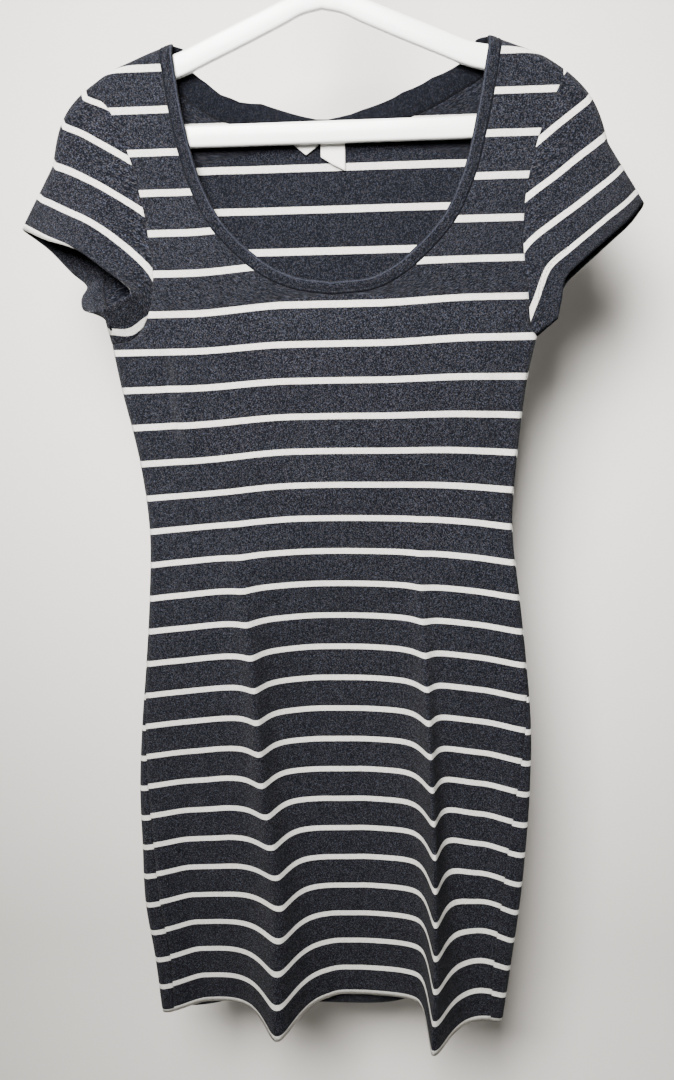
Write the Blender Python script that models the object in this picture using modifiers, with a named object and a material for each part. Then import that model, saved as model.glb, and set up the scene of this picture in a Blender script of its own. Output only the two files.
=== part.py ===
"""Striped jersey mini dress on a one-piece plastic hanger.

Frame: X to the viewer's right, Y away from the viewer, Z up, in metres. The origin is the inside top
of the hanger's hook, where a rod carries it. Sizes and tables below are in millimetres.
"""
import math

import bmesh
import bpy
from mathutils import Vector

MM = 0.001
MERGE_DISTANCE = 0.00005
COLLECTION = "mini_dress_on_hanger"

# Cloth
CLOTH = 1.2
SEAM_GAP = 0.3
SEAM_BEND = 0.15        # more room where two pieces meet on a bend
BINDING_WIDTH = 10.0
BINDING_THICKNESS = 2.2
BINDING_SMOOTHING = 3
LABEL_THICKNESS = 1.0

# Heights: the rod contact is HANG_HEIGHT above the hem, section heights count up from the hem
HANG_HEIGHT = 985.0
UNDERARM_HEIGHT = 637.0
EYE_HEIGHT = 639.0
FOLD_RANGE = 850.0
MID_X = 3.0

# Shoulders: the cloth rolls over the hanger's arms
ROLL_RADIUS = 7.0
ROLL_ANGLES = (30.0, 60.0, 90.0)

# The two deep front folds hang a third as sag and the rest as depth
FOLD_AS_DEPTH = 0.67
FOLD_TIP = 1.9
FOLD_POWER = 1.25
FOLD_ROUND = 0.14
BACK_BOW = -0.2         # the back's level lines sag a little where the front's rise

# Shares of the half width between which one depth blends into the next
FRONT_FLANK_START = 0.08
FRONT_FLANK_END = 0.58
FRONT_SIDE_START = 0.78
BACK_SIDE_START = 0.35

SECTION_COLUMNS = ("height", "left", "right", "wrap_l", "wrap_r", "roll",
                   "side_l", "flank_l", "middle", "flank_r", "side_r", "back", "bow")
SECTIONS = [
    (0, -177, 151, 16, 15, 6, 0, 12, 17, 0, -4, 27, 14),
    (57, -181, 158, 19, 19, 6, 1, 11, 18, 2, -3, 26, 14),
    (115, -187, 165, 18, 20, 6, 1, 9, 18, 5, -2, 26, 14),
    (174, -187, 170, 15, 19, 6, 3, 8, 19, 8, -1, 25, 14),
    (233, -186, 173, 12, 15, 6, 4, 7, 19, 8, 0, 24, 14),
    (293, -180, 173, 7, 8, 5, 3, 3, 18, 7, 0, 23, 14),
    (354, -172, 168, 3, 3, 5, 1, -2, 13, 6, 1, 19, 14),
    (415, -165, 161, 2, 2, 4, 0, -4, 5, 5, 2, 14, 13),
    (477, -161, 154, 2, 2, 4, -1, -3, 1, 5, 3, 12, 10),
    (539, -166, 157, 2, 2, 4, -2, -5, -3, 0, 1, 10, 6),
    (603, -178, 164, 2, 2, 5, -4, -7, -7, -6, -3, 9, 2),
    (637, -183, 171, 2, 2, 6, -6, -8, -8, -8, -6, 8, 0),
]

FOLD_COLUMNS = ("height", "x", "depth", "inner", "outer")
FRONT_FOLDS = {
    -1: [(0, -60, 66, 36, 36), (57, -59, 50, 26, 31), (115, -55, 35, 14, 27), (174, -63, 31, 14, 25),
         (233, -69, 26, 16, 24), (293, -71, 21, 14, 20), (354, -74, 15, 14, 18), (415, -79, 8, 16, 18),
         (477, -82, 2, 18, 18), (539, -84, 0, 20, 20), (637, -86, 0, 20, 20)],
    1: [(0, 84, 68, 10, 46), (57, 86, 60, 12, 32), (115, 87, 50, 16, 18), (174, 87, 40, 19, 11),
        (233, 85, 30, 22, 10), (293, 82, 22, 18, 10), (354, 79, 13, 18, 11), (415, 76, 6, 14, 14),
        (477, 75, 2, 16, 16), (539, 76, 0, 20, 20), (637, 78, 0, 20, 20)],
}
BACK_FOLDS = {
    -1: [(0, -98, 15, 34, 30), (174, -96, 11, 34, 30), (354, -90, 5, 34, 30), (477, -86, 0, 34, 30)],
    1: [(0, 72, 13, 32, 36), (174, 76, 10, 32, 36), (354, 84, 4, 32, 36), (477, 88, 0, 32, 36)],
}

# Outline points on the worn front, as (x, z), from low to high
FRONT_NECK = {
    -1: [(MID_X, -311), (-31, -305), (-60, -290), (-91, -260), (-108, -229), (-118, -196), (-124, -164),
         (-129, -129)],
    1: [(MID_X, -311), (40, -307), (71, -290), (103, -257), (119, -224), (127, -195), (134, -160),
        (139, -130)],
}
BACK_NECK = {
    -1: [(MID_X, -184), (-45, -181), (-83, -172), (-106, -159), (-121, -145), (-129, -129)],
    1: [(MID_X, -184), (45, -180), (79, -170), (106, -157), (128, -144), (139, -130)],
}
ARMHOLE = {
    -1: [(-183, -348), (-163, -343), (-149, -323), (-143.5, -292), (-148, -244), (-159, -195),
         (-172, -163), (-186, -151)],
    1: [(171, -348), (166, -339), (163, -315), (159, -286), (158, -255), (162, -222), (172, -184),
        (187, -151)],
}
BACK_ARMHOLE_OUT = (0.0, 1.2, 3.2, 4.0, 4.0, 3.2, 1.6, 0.0)
SHOULDER_LINE = [(100, -110), (120, -115.5), (135, -120), (150, -125.5), (170, -133.5), (187, -144),
                 (200, -153)]

# Sleeve mouths, as (x, y, z), from the outer tip down to the underarm along each face
SLEEVE_MOUTH = {
    (-1, "front"): [(-253, -1, -252), (-230, -12, -262), (-203, -18, -271), (-178, -20, -289),
                    (-160, -20, -304), (-167, -22, -312), (-184, -20, -319)],
    (-1, "back"): [(-253, 1, -253), (-235, 8, -268), (-218, 11, -287), (-205, 10, -299),
                   (-208, 2, -310), (-201, -12, -320), (-184, -20, -319)],
    (1, "front"): [(253, -1, -246), (243, -7, -257), (230, -11, -268), (205, -13, -289),
                   (192, -12, -302), (189, -9, -320), (187, -5, -334)],
    (1, "back"): [(253, 1, -248), (244, 6, -261), (228, 11, -276), (207, 12, -295),
                  (195, 10, -307), (190, 4, -321), (187, -5, -334)],
}
SLEEVE_CROWN = {-1: 9.0, 1: 7.0}
SLEEVE_CROWN_END = 0.55
SLEEVE_CROWN_REACH = 0.35       # share of each face, down from the top, that the crown lifts
UNDERARM_OUT = (0.7, 1.0)       # direction of the gap at the underarm, outwards and up
UNDERARM_POINTS = 5             # points each side of the underarm with a wider gap
SHORT_RUN = 2.0
SLEEVE_STATIONS = (0.0, 0.1, 0.2, 0.3, 0.45, 0.62, 0.8, 1.0)

# Grid of each panel, as fractions across and rows up
INNER_COLUMNS = (0.0, 0.28, 0.52, 0.7, 0.82, 0.9, 0.96, 1.0)
OUTER_COLUMNS = (0.03, 0.08, 0.15, 0.25, 0.42, 0.63, 0.82, 0.93, 0.99, 1.0)
WRAP_COLUMNS = (0.0, 0.3, 0.6, 0.92, 1.0)
BACK_COLUMNS = (0.12, 0.24, 0.36, 0.48, 0.6, 0.73, 0.87, 1.0)
LOWER_ROWS = 18
UPPER_ROWS = 12
SETTLE_ROWS = 3.0       # rows above the underarm in which the panel reaches its upper depth
FRONT_NECK_ROW = 2
BACK_NECK_ROW = 8

# Hanger: flat moulding with an outline of arms, bar and hook
HANGER_THICKNESS = 8.0
HANGER_EDGE = 2.0
ARM_TOP = [(6, -77), (16, -80), (30, -86), (60, -98.5), (90, -111), (114, -121), (130, -124.5),
           (150, -128), (170, -135.2), (185, -146.5), (196, -157), (203, -167)]
TIP = [(204.5, -176), (202, -185), (196, -191), (187, -193)]
HOLE = [(0, -94), (16, -97.5), (30, -104), (60, -117), (90, -129.5), (116, -140), (150, -148),
        (170, -156), (184, -165), (188, -171), (184, -176)]
OUTLINE_POINTS = 26
HOLE_POINTS = 20
HOOK_INNER = 17.0
HOOK_WIDTH = 9.0
HOOK_STEM = [(0.0, -70.0), (0.0, -60.0), (1.5, -50.0), (6.5, -42.0)]
HOOK_START = -48.0
HOOK_END = 208.0
HOOK_STEPS = 20
HOOK_TIP_CORNER = 0.7

# Labels at the back neck: left, right, top, bottom, the bottom edge's tilt
LABEL_COLUMNS = ("left", "right", "top", "low_l", "low_r")
LABELS = {
    "brand_label": (-24.0, -5.0, -181.0, -188.0, -197.0),
    "size_label": (-3.5, 16.5, -181.0, -203.0, -214.0),
}
LABEL_DEPTH = 5.1
LABEL_STEPS = (0.0, 0.5, 1.0)

# Colours
NAVY = (0.025, 0.035, 0.065)
BINDING_NAVY = (0.02, 0.028, 0.055)
TAG_WHITE = (0.82, 0.82, 0.8)
PLASTIC_WHITE = (0.88, 0.88, 0.87)
CLOTH_ROUGHNESS = 0.85
PLASTIC_ROUGHNESS = 0.3


def clear_scene():
    for thing in list(bpy.data.objects):
        bpy.data.objects.remove(thing, do_unlink=True)


def blend(value, start, end):
    """Smooth step from 0 at start to 1 at end."""
    share = min(1.0, max(0.0, (value - start) / (end - start)))
    return share * share * (3.0 - 2.0 * share)


def hermite(knots, values, at):
    """Smooth curve through the values at the knots, held level beyond both ends."""
    if at <= knots[0]:
        return values[0]
    if at >= knots[-1]:
        return values[-1]
    index = max(i for i in range(len(knots) - 1) if knots[i] <= at)
    span = knots[index + 1] - knots[index]
    part = (at - knots[index]) / span

    def slope(i):
        low, high = max(i - 1, 0), min(i + 1, len(knots) - 1)
        return (values[high] - values[low]) / (knots[high] - knots[low])

    square, cube = part * part, part ** 3
    return ((2 * cube - 3 * square + 1) * values[index] + (cube - 2 * square + part) * span * slope(index)
            + (3 * square - 2 * cube) * values[index + 1] + (cube - square) * span * slope(index + 1))


def read(table, columns, name, at):
    place = columns.index(name)
    return hermite([row[0] for row in table], [row[place] for row in table], at)


def section(name, height):
    return read(SECTIONS, SECTION_COLUMNS, name, height)


def along(points, fraction, steps=24):
    """Point at a share of the length of the smooth curve through the points."""
    curve = []
    knots = list(range(len(points)))
    for step in range(steps * (len(points) - 1) + 1):
        at = step / steps
        curve.append(Vector([hermite(knots, values, at) for values in zip(*points)]))
    lengths = [0.0]
    for before, after in zip(curve, curve[1:]):
        lengths.append(lengths[-1] + (after - before).length)
    target = fraction * lengths[-1]
    index = max(i for i in range(len(curve) - 1) if lengths[i] <= target + 1e-9)
    part = (target - lengths[index]) / (lengths[index + 1] - lengths[index])
    return curve[index].lerp(curve[index + 1], part)


def fold_shape(x, fold, height):
    """Height of a fold at x, from 0 on the flat to 1 on its crest."""
    offset = abs(x) - abs(read(fold, FOLD_COLUMNS, "x", height))
    width = read(fold, FOLD_COLUMNS, "outer" if offset > 0 else "inner", height)
    share = math.hypot(offset / width, FOLD_ROUND) - FOLD_ROUND
    return math.exp(-((FOLD_TIP * share) ** FOLD_POWER))


def shoulder_height(x):
    return hermite([p[0] for p in SHOULDER_LINE], [p[1] for p in SHOULDER_LINE], abs(x))


class Section:
    """One level of the dress below the underarm, for the side at sign."""

    def __init__(self, sign, height):
        self.sign = sign
        self.height = height
        ending = "_l" if sign < 0 else "_r"
        self.edge = abs(section("left" if sign < 0 else "right", height) - MID_X)
        self.roll = section("roll", height)
        self.wrap = section("wrap" + ending, height)
        self.side = section("side" + ending, height)
        self.flank = section("flank" + ending, height)
        self.middle = section("middle", height)
        self.back = section("back", height)
        self.bow = section("bow", height)
        self.flat = self.edge - self.roll
        self.turn = self.roll * math.pi / 2
        self.fold_x = abs(read(FRONT_FOLDS[sign], FOLD_COLUMNS, "x", height) - MID_X)

    def front(self, length):
        """Point at a length from the middle along the front face, round the side's roll."""
        if length > self.flat:
            angle = (length - self.flat) / self.roll
            out = self.flat + self.roll * math.sin(angle)
            depth = self.side + self.roll * (1 - math.cos(angle))
        else:
            out = length
            share = out / self.flat
            depth = self.middle
            depth += (self.flank - self.middle) * blend(share, FRONT_FLANK_START, FRONT_FLANK_END)
            depth += (self.side - self.flank) * blend(share, FRONT_SIDE_START, 1.0)
        x = MID_X + self.sign * out
        lift = self.bow * (1 - (out / self.edge) ** 2)
        amount = read(FRONT_FOLDS[self.sign], FOLD_COLUMNS, "depth", self.height)
        amount *= fold_shape(x, FRONT_FOLDS[self.sign], self.height)
        depth -= FOLD_AS_DEPTH * amount
        lift -= (1 - FOLD_AS_DEPTH) * amount * (EYE_HEIGHT - self.height) / FOLD_RANGE
        return Vector((x, depth, self.height + lift - HANG_HEIGHT))

    def rear(self, length):
        """Point at a length from the middle along the back face, round the side's roll."""
        reach = self.side + 2 * self.roll
        if length > self.flat:
            angle = (length - self.flat) / self.roll
            out = self.flat + self.roll * math.sin(angle)
            depth = self.side + self.roll * (1 + math.cos(angle))
        else:
            out = length
            depth = self.back + (reach - self.back) * blend(out / self.flat, BACK_SIDE_START, 1.0)
        x = MID_X + self.sign * out
        fold = BACK_FOLDS[self.sign]
        depth += read(fold, FOLD_COLUMNS, "depth", self.height) * fold_shape(x, fold, self.height)
        lift = self.bow * (1 - (out / self.edge) ** 2) * BACK_BOW
        return Vector((x, depth, self.height + lift - HANG_HEIGHT))

    def front_row(self):
        seam = self.flat + self.turn - self.wrap - (SEAM_GAP + SEAM_BEND) / 2
        lengths = [share * self.fold_x for share in INNER_COLUMNS]
        lengths += [self.fold_x + share * (seam - self.fold_x) for share in OUTER_COLUMNS]
        return [self.front(length) for length in lengths]

    def back_row(self):
        """From the middle of the back outwards, round the roll and on to the seam in front."""
        lengths = [self.flat * (1 - share) for share in reversed(BACK_COLUMNS)]
        row = [self.rear(length) for length in lengths]
        span = self.turn + self.wrap - (SEAM_GAP + SEAM_BEND) / 2
        for share in WRAP_COLUMNS:
            arc = share * span
            if arc <= self.turn:
                row.append(self.rear(self.flat + arc))
            else:
                row.append(self.front(self.flat + 2 * self.turn - arc))
        return row


def upper_rows(sign, neck, neck_row, armhole, low_row, depth_sign, low_neck):
    """Rows from the underarm up: the inner end follows the neckline, the outer end the armhole."""
    shares = shares_of(low_row)
    rows = []
    for step in range(1, UPPER_ROWS + 1):
        outer = along(armhole, step / UPPER_ROWS)
        if step <= neck_row:
            rise = (blend(step, 0.0, neck_row) + step / neck_row) / 2
            inner = Vector((MID_X, low_row[0].z + (low_neck - low_row[0].z) * rise))
        else:
            inner = along(neck, (step - neck_row) / (UPPER_ROWS - neck_row))
        settle = blend(step, 0.0, SETTLE_ROWS)
        row = []
        for column, share in enumerate(shares):
            x, z = inner.lerp(outer, share)
            depth = depth_sign * ROLL_RADIUS
            row.append(Vector((x, low_row[column].y + (depth - low_row[column].y) * settle, z)))
        rows.append(row)
    last = rows[-1]
    for angle in ROLL_ANGLES:
        turn = math.radians(angle)
        row = []
        for point in last:
            top = shoulder_height(point.x) - ROLL_RADIUS
            depth = depth_sign * max(ROLL_RADIUS * math.cos(turn), SEAM_GAP / 2 + SEAM_BEND)
            row.append(Vector((point.x, depth, top + ROLL_RADIUS * math.sin(turn))))
        rows.append(row)
    return rows


def level_top(points):
    """The outline's last point drops to where the shoulder's roll begins."""
    x = points[-1][0]
    return points[:-1] + [(x, shoulder_height(x) - ROLL_RADIUS)]


def panel_half(sign, face):
    rows = []
    for step in range(LOWER_ROWS + 1):
        level = Section(sign, UNDERARM_HEIGHT * step / LOWER_ROWS)
        rows.append(level.front_row() if face == "front" else level.back_row())
    armhole = level_top(ARMHOLE[sign])
    if face == "back":
        armhole = [(x + sign * out, z) for (x, z), out in zip(armhole, BACK_ARMHOLE_OUT)]
    neck = level_top((FRONT_NECK if face == "front" else BACK_NECK)[sign])
    neck_row = FRONT_NECK_ROW if face == "front" else BACK_NECK_ROW
    depth_sign = -1.0 if face == "front" else 1.0
    return rows + upper_rows(sign, neck, neck_row, armhole, rows[-1], depth_sign, neck[0][1])


def put(name, mesh, colour, roughness):
    """New object in the part's collection with its own material."""
    thing = bpy.data.objects.new(name, mesh)
    bpy.data.collections[COLLECTION].objects.link(thing)
    material = bpy.data.materials.new(name)
    material.use_nodes = True
    shader = material.node_tree.nodes["Principled BSDF"]
    shader.inputs["Base Color"].default_value = (*colour, 1.0)
    shader.inputs["Roughness"].default_value = roughness
    mesh.materials.clear()
    mesh.materials.append(material)
    return thing


def wall(name, bm, thickness, colour):
    """Cloth wall: the middle surface in bm with a Solidify modifier."""
    bmesh.ops.recalc_face_normals(bm, faces=bm.faces)
    mesh = bpy.data.meshes.new(name)
    bm.to_mesh(mesh)
    bm.free()
    thing = put(name, mesh, colour, CLOTH_ROUGHNESS)
    solid = thing.modifiers.new("thickness", "SOLIDIFY")
    solid.thickness = thickness * MM
    solid.offset = 0.0
    solid.use_even_offset = True
    solid.thickness_clamp = 1.0
    mesh.shade_smooth()
    return thing


def panel(name, face, neck_row, colour):
    """Front or back: two halves that share the middle line up to the neckline."""
    bm = bmesh.new()
    halves = {sign: panel_half(sign, face) for sign in (-1, 1)}
    middle = [bm.verts.new(row[0] * MM) for row in halves[1][:LOWER_ROWS + neck_row + 1]]
    for sign, rows in halves.items():
        grid = []
        for index, row in enumerate(rows):
            first = middle[index] if index < len(middle) else bm.verts.new(row[0] * MM)
            grid.append([first] + [bm.verts.new(point * MM) for point in row[1:]])
        fill(bm, grid, False)
    wall(name, bm, CLOTH, colour)
    return halves


def fill(bm, grid, cyclic):
    """Faces between neighbouring rows of the grid."""
    for low, high in zip(grid, grid[1:]):
        count = len(low)
        for index in range(count if cyclic else count - 1):
            after = (index + 1) % count
            bm.faces.new((low[index], low[after], high[after], high[index]))


def ring_of(front, back, inner):
    """Closed edge through the front rows down and the back rows up, at the inner or outer end."""
    end = 0 if inner else -1
    down = [row[end] for row in reversed(front)]
    up = [row[end] for row in back]
    top = (down[0] + up[-1]) / 2
    low = (down[-1] + up[0]) / 2
    return [top] + down[1:-1] + [low] + up[1:-1], len(down) - 1


def shares_of(points):
    """Share of the line's length at each point."""
    lengths = [0.0]
    for before, after in zip(points, points[1:]):
        lengths.append(lengths[-1] + (after - before).length)
    return [length / lengths[-1] for length in lengths]


def sleeve(name, sign, front, back, colour):
    """Tube from the armhole to the mouth, pushed out over the hanger's tip."""
    start, low = ring_of(front[sign][LOWER_ROWS:], back[sign][LOWER_ROWS:], False)
    count = len(start)
    near = []
    for index, point in enumerate(start):
        run = start[(index + 1) % count] - start[index - 1]
        if index < low:
            run = -run
        out = Vector((-run.z, 0.0, run.x)) * -sign
        if out.length < SHORT_RUN or index == 0:
            out = Vector((sign, 0.0, 0.0))
        if index == low:
            out = Vector((sign * UNDERARM_OUT[0], 0.0, UNDERARM_OUT[1]))
        corner = max(0.0, 1 - abs(index - low) / UNDERARM_POINTS)
        reach = SEAM_GAP + SEAM_BEND + corner * CLOTH
        near.append(point + out.normalized() * reach)
    down = shares_of(start[:low + 1])
    up = shares_of(start[low:] + start[:1])
    mouth = [along(SLEEVE_MOUTH[(sign, "front")], share) for share in down]
    mouth += [along(SLEEVE_MOUTH[(sign, "back")], 1 - share) for share in up[1:-1]]
    bm = bmesh.new()
    grid = []
    for station in SLEEVE_STATIONS:
        ring = []
        swell = SLEEVE_CROWN[sign] * math.sin(math.pi * min(1.0, station / SLEEVE_CROWN_END))
        for index in range(count):
            share = down[index] if index <= low else 1 - up[index - low]
            top = blend(1 - share / SLEEVE_CROWN_REACH, 0.0, 1.0)
            point = near[index].lerp(mouth[index], station)
            ring.append(point + Vector((sign, 0.0, 1.0)).normalized() * swell * top)
        grid.append([bm.verts.new(point * MM) for point in ring])
    fill(bm, grid, True)
    wall(name, bm, CLOTH, colour)


def neck_binding(front, back, colour):
    """Folded strip that goes on from the neck edge of both panels, all the way round."""
    lap = {}
    for sign in (-1, 1):
        rows = {"front": front[sign][LOWER_ROWS + FRONT_NECK_ROW:],
                "back": back[sign][LOWER_ROWS + BACK_NECK_ROW:]}
        for face, part in rows.items():
            lap[(sign, face)] = [(row[0], row[2] - row[0]) for row in part]
    loop = lap[(-1, "front")][::-1] + lap[(1, "front")][1:-1]
    loop += lap[(1, "back")][::-1] + lap[(-1, "back")][1:-1]
    bm = bmesh.new()
    count = len(loop)
    ways = []
    for index, (point, across) in enumerate(loop):
        run = (loop[(index + 1) % count][0] - loop[index - 1][0]).normalized()
        if abs(point.x - MID_X) < 1.0:
            across = Vector((0.0, 0.0, -1.0))
        away = -(across - run * across.dot(run))
        away.y = 0.0
        ways.append(away.normalized())
    for _ in range(BINDING_SMOOTHING):
        ways = [(ways[i - 1] + 2 * ways[i] + ways[(i + 1) % count]).normalized() for i in range(count)]
    outer, inner = [], []
    for (point, _), away in zip(loop, ways):
        outer.append(bm.verts.new((point + away * (SEAM_GAP + SEAM_BEND)) * MM))
        inner.append(bm.verts.new((point + away * BINDING_WIDTH) * MM))
    fill(bm, [outer, inner], True)
    wall("neck_binding", bm, BINDING_THICKNESS, colour)


def hook_line():
    """Middle line of the hook, from the stem round to the tip."""
    line = [Vector(point) for point in HOOK_STEM]
    centre = Vector((0.0, -HOOK_INNER))
    radius = HOOK_INNER + HOOK_WIDTH / 2
    for step in range(HOOK_STEPS + 1):
        angle = math.radians(HOOK_START + (HOOK_END - HOOK_START) * step / HOOK_STEPS)
        line.append(centre + radius * Vector((math.cos(angle), math.sin(angle))))
    return line


def hook_sides():
    """Both edges of the hook, joined round its tip."""
    line = hook_line()
    half = HOOK_WIDTH / 2 - HANGER_EDGE
    sides = {1: [], -1: []}
    for index, point in enumerate(line):
        run = (line[min(index + 1, len(line) - 1)] - line[max(index - 1, 0)]).normalized()
        for side in (1, -1):
            sides[side].append(point + Vector((run.y, -run.x)) * side * half)
    run = (line[-1] - line[-2]).normalized()
    across = Vector((run.y, -run.x))
    corner = half * HOOK_TIP_CORNER
    tip = [line[-1] + (run + across) * corner, line[-1] + run * half, line[-1] + (run - across) * corner]
    return sides[1] + tip + sides[-1][::-1]


def inset(points, amount, closed=True):
    """Outline moved by amount to its left."""
    moved = []
    for index, point in enumerate(points):
        before = points[index - 1] if closed or index else point
        after = points[(index + 1) % len(points)]
        run = (after - before).normalized()
        moved.append(point + Vector((-run.y, run.x)) * amount)
    return moved


def smooth_outline(points, count):
    """Even points along the smooth curve through the given ones."""
    return [along(points, index / (count - 1)) for index in range(count)]


def hanger():
    """Arms, bar and hook as one flat outline with a hole, rounded all along its edges."""
    right = smooth_outline(ARM_TOP + TIP, OUTLINE_POINTS)
    shell = inset(right, -HANGER_EDGE, False)
    mirror = [Vector((-point.x, point.y)) for point in shell]
    outer = shell + mirror[::-1] + hook_sides()[::-1]
    hole_right = inset(smooth_outline(HOLE, HOLE_POINTS), HANGER_EDGE, False)
    hole_right[0] = Vector((0.0, HOLE[0][1] + HANGER_EDGE))
    hole = hole_right + [Vector((-point.x, point.y)) for point in hole_right[:0:-1]]
    data = bpy.data.curves.new("hanger", "CURVE")
    data.dimensions = "2D"
    data.fill_mode = "BOTH"
    data.extrude = (HANGER_THICKNESS / 2 - HANGER_EDGE) * MM
    data.bevel_depth = HANGER_EDGE * MM
    data.bevel_resolution = 1
    for outline in (outer, hole):
        spline = data.splines.new("POLY")
        spline.points.add(len(outline) - 1)
        spline.use_cyclic_u = True
        for item, point in zip(spline.points, outline):
            item.co = (point.x * MM, point.y * MM, 0.0, 1.0)
    curve = bpy.data.objects.new("hanger_outline", data)
    bpy.data.collections[COLLECTION].objects.link(curve)
    curve.rotation_euler = (math.pi / 2, 0.0, 0.0)
    bpy.context.view_layer.update()
    solid = curve.evaluated_get(bpy.context.evaluated_depsgraph_get())
    mesh = bpy.data.meshes.new_from_object(solid)
    bm = bmesh.new()
    bm.from_mesh(mesh)
    bmesh.ops.transform(bm, matrix=curve.matrix_world, verts=bm.verts)
    bmesh.ops.remove_doubles(bm, verts=bm.verts, dist=MERGE_DISTANCE)
    bmesh.ops.recalc_face_normals(bm, faces=bm.faces)
    bm.to_mesh(mesh)
    bm.free()
    mesh.name = "hanger"
    bpy.data.objects.remove(curve, do_unlink=True)
    put("hanger", mesh, PLASTIC_WHITE, PLASTIC_ROUGHNESS)


def label(name, row, colour):
    """Small woven tag hanging inside the back neck, its lower edge on a slant."""
    sizes = dict(zip(LABEL_COLUMNS, row))
    bm = bmesh.new()
    grid = []
    for level in LABEL_STEPS:
        line = []
        for share in LABEL_STEPS:
            low = sizes["low_l"] + (sizes["low_r"] - sizes["low_l"]) * share
            x = sizes["left"] + (sizes["right"] - sizes["left"]) * share
            z = sizes["top"] + (low - sizes["top"]) * level
            line.append(bm.verts.new(Vector((x, LABEL_DEPTH, z)) * MM))
        grid.append(line)
    fill(bm, grid, False)
    wall(name, bm, LABEL_THICKNESS, colour)


def build():
    clear_scene()
    group = bpy.data.collections.new(COLLECTION)
    bpy.context.scene.collection.children.link(group)
    front = panel("front_panel", "front", FRONT_NECK_ROW, NAVY)
    back = panel("back_panel", "back", BACK_NECK_ROW, NAVY)
    sleeve("sleeve_left", -1, front, back, NAVY)
    sleeve("sleeve_right", 1, front, back, NAVY)
    neck_binding(front, back, BINDING_NAVY)
    for name, row in LABELS.items():
        label(name, row, TAG_WHITE)
    hanger()


build()
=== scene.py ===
"""Striped jersey mini dress on a moulded hanger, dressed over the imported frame.

Sizes in the tables are in millimetres of the frame: X to the viewer's right, Y away from the viewer,
Z up, with the origin at the inside top of the hook.
"""
import math

import bmesh
import bpy
import numpy as np
from mathutils import Matrix, Vector


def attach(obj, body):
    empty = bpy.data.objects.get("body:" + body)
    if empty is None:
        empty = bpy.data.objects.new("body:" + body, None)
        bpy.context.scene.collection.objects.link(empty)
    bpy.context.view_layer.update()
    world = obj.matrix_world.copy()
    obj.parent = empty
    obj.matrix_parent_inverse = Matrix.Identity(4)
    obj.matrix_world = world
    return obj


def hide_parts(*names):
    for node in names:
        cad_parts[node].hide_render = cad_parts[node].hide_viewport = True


bl_info = {
    "name": "Striped mini dress on a hanger",
    "version": (1, 0, 0),
    "blender": (4, 5, 0),
    "location": "3D View > Sidebar > Dress",
    "description": "Builds a striped jersey dress, its hanger and a plain studio over the packed frame",
    "category": "Object",
}

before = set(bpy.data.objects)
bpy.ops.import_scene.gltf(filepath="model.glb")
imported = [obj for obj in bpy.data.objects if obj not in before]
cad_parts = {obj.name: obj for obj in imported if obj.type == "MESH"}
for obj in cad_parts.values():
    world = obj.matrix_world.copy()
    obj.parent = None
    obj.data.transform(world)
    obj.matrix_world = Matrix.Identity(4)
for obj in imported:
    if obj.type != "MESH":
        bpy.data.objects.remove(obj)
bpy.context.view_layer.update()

MM = 0.001
PITCH = 30.0            # cloth from one white stripe to the next
HANG_HEIGHT = 985.0     # from the hem up to the origin
UNDERARM_HEIGHT = 637.0
EYE_HEIGHT = 639.0      # height and distance from which the folds' sag was judged
FOLD_RANGE = 850.0
MID_X = 3.0
CLOTH_MERGE = 0.00002   # metres within which points are one
HANGER_MERGE = 0.00001
ROLL_RADIUS = 7.0
FOLD_AS_DEPTH = 0.67    # share of a fold that comes forward; the rest sags
FOLD_TIP = 1.9          # sharpness of a fold, its power and how round its tip is
FOLD_POWER = 1.25
FOLD_ROUND = 0.14
BACK_BOW = -0.2         # share of the front's bow that the back has
FRONT_FLANK_START = 0.08
FRONT_FLANK_END = 0.58
FRONT_SIDE_START = 0.78
BACK_SIDE_START = 0.35
SEAM_HALF = 0.32        # from the seam's middle to each panel's turned-in edge
SEAM_TURN = ((0.06, 0.6), (0.1, 3.4))      # on past the edge, and in from the cloth
STRIPE_STEP = 28.5      # spacing of the lowest stripes up the front
STRIPE_GROWTH = 0.08 / 28.0

# How far the stripes have drifted from even spacing, in stripe pitches, by height
DRIFT_COLUMNS = ("height", "left", "right", "back")
STRIPE_DRIFTS = [
    (0, 0, 0, 0.04), (250, 0, 0, 0.05), (440, 0, 0, 0.05), (480, 0.04, -0.02, 0.04),
    (530, 0.12, -0.06, 0), (625, 0.13, -0.08, -0.14), (661, 0.17, -0.11, -0.24), (694, 0.155, -0.04, -0.32),
    (726, 0.16, 0.01, -0.35), (757, 0.19, 0.02, -0.35), (788, 0.24, 0.05, -0.36), (820, 0.25, 0.09, -0.42),
    (853, 0.31, 0.22, -0.62),
]
DRIFT_START = 35.0      # out from the middle to where the front's drift begins and is full
DRIFT_FULL = 120.0

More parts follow.
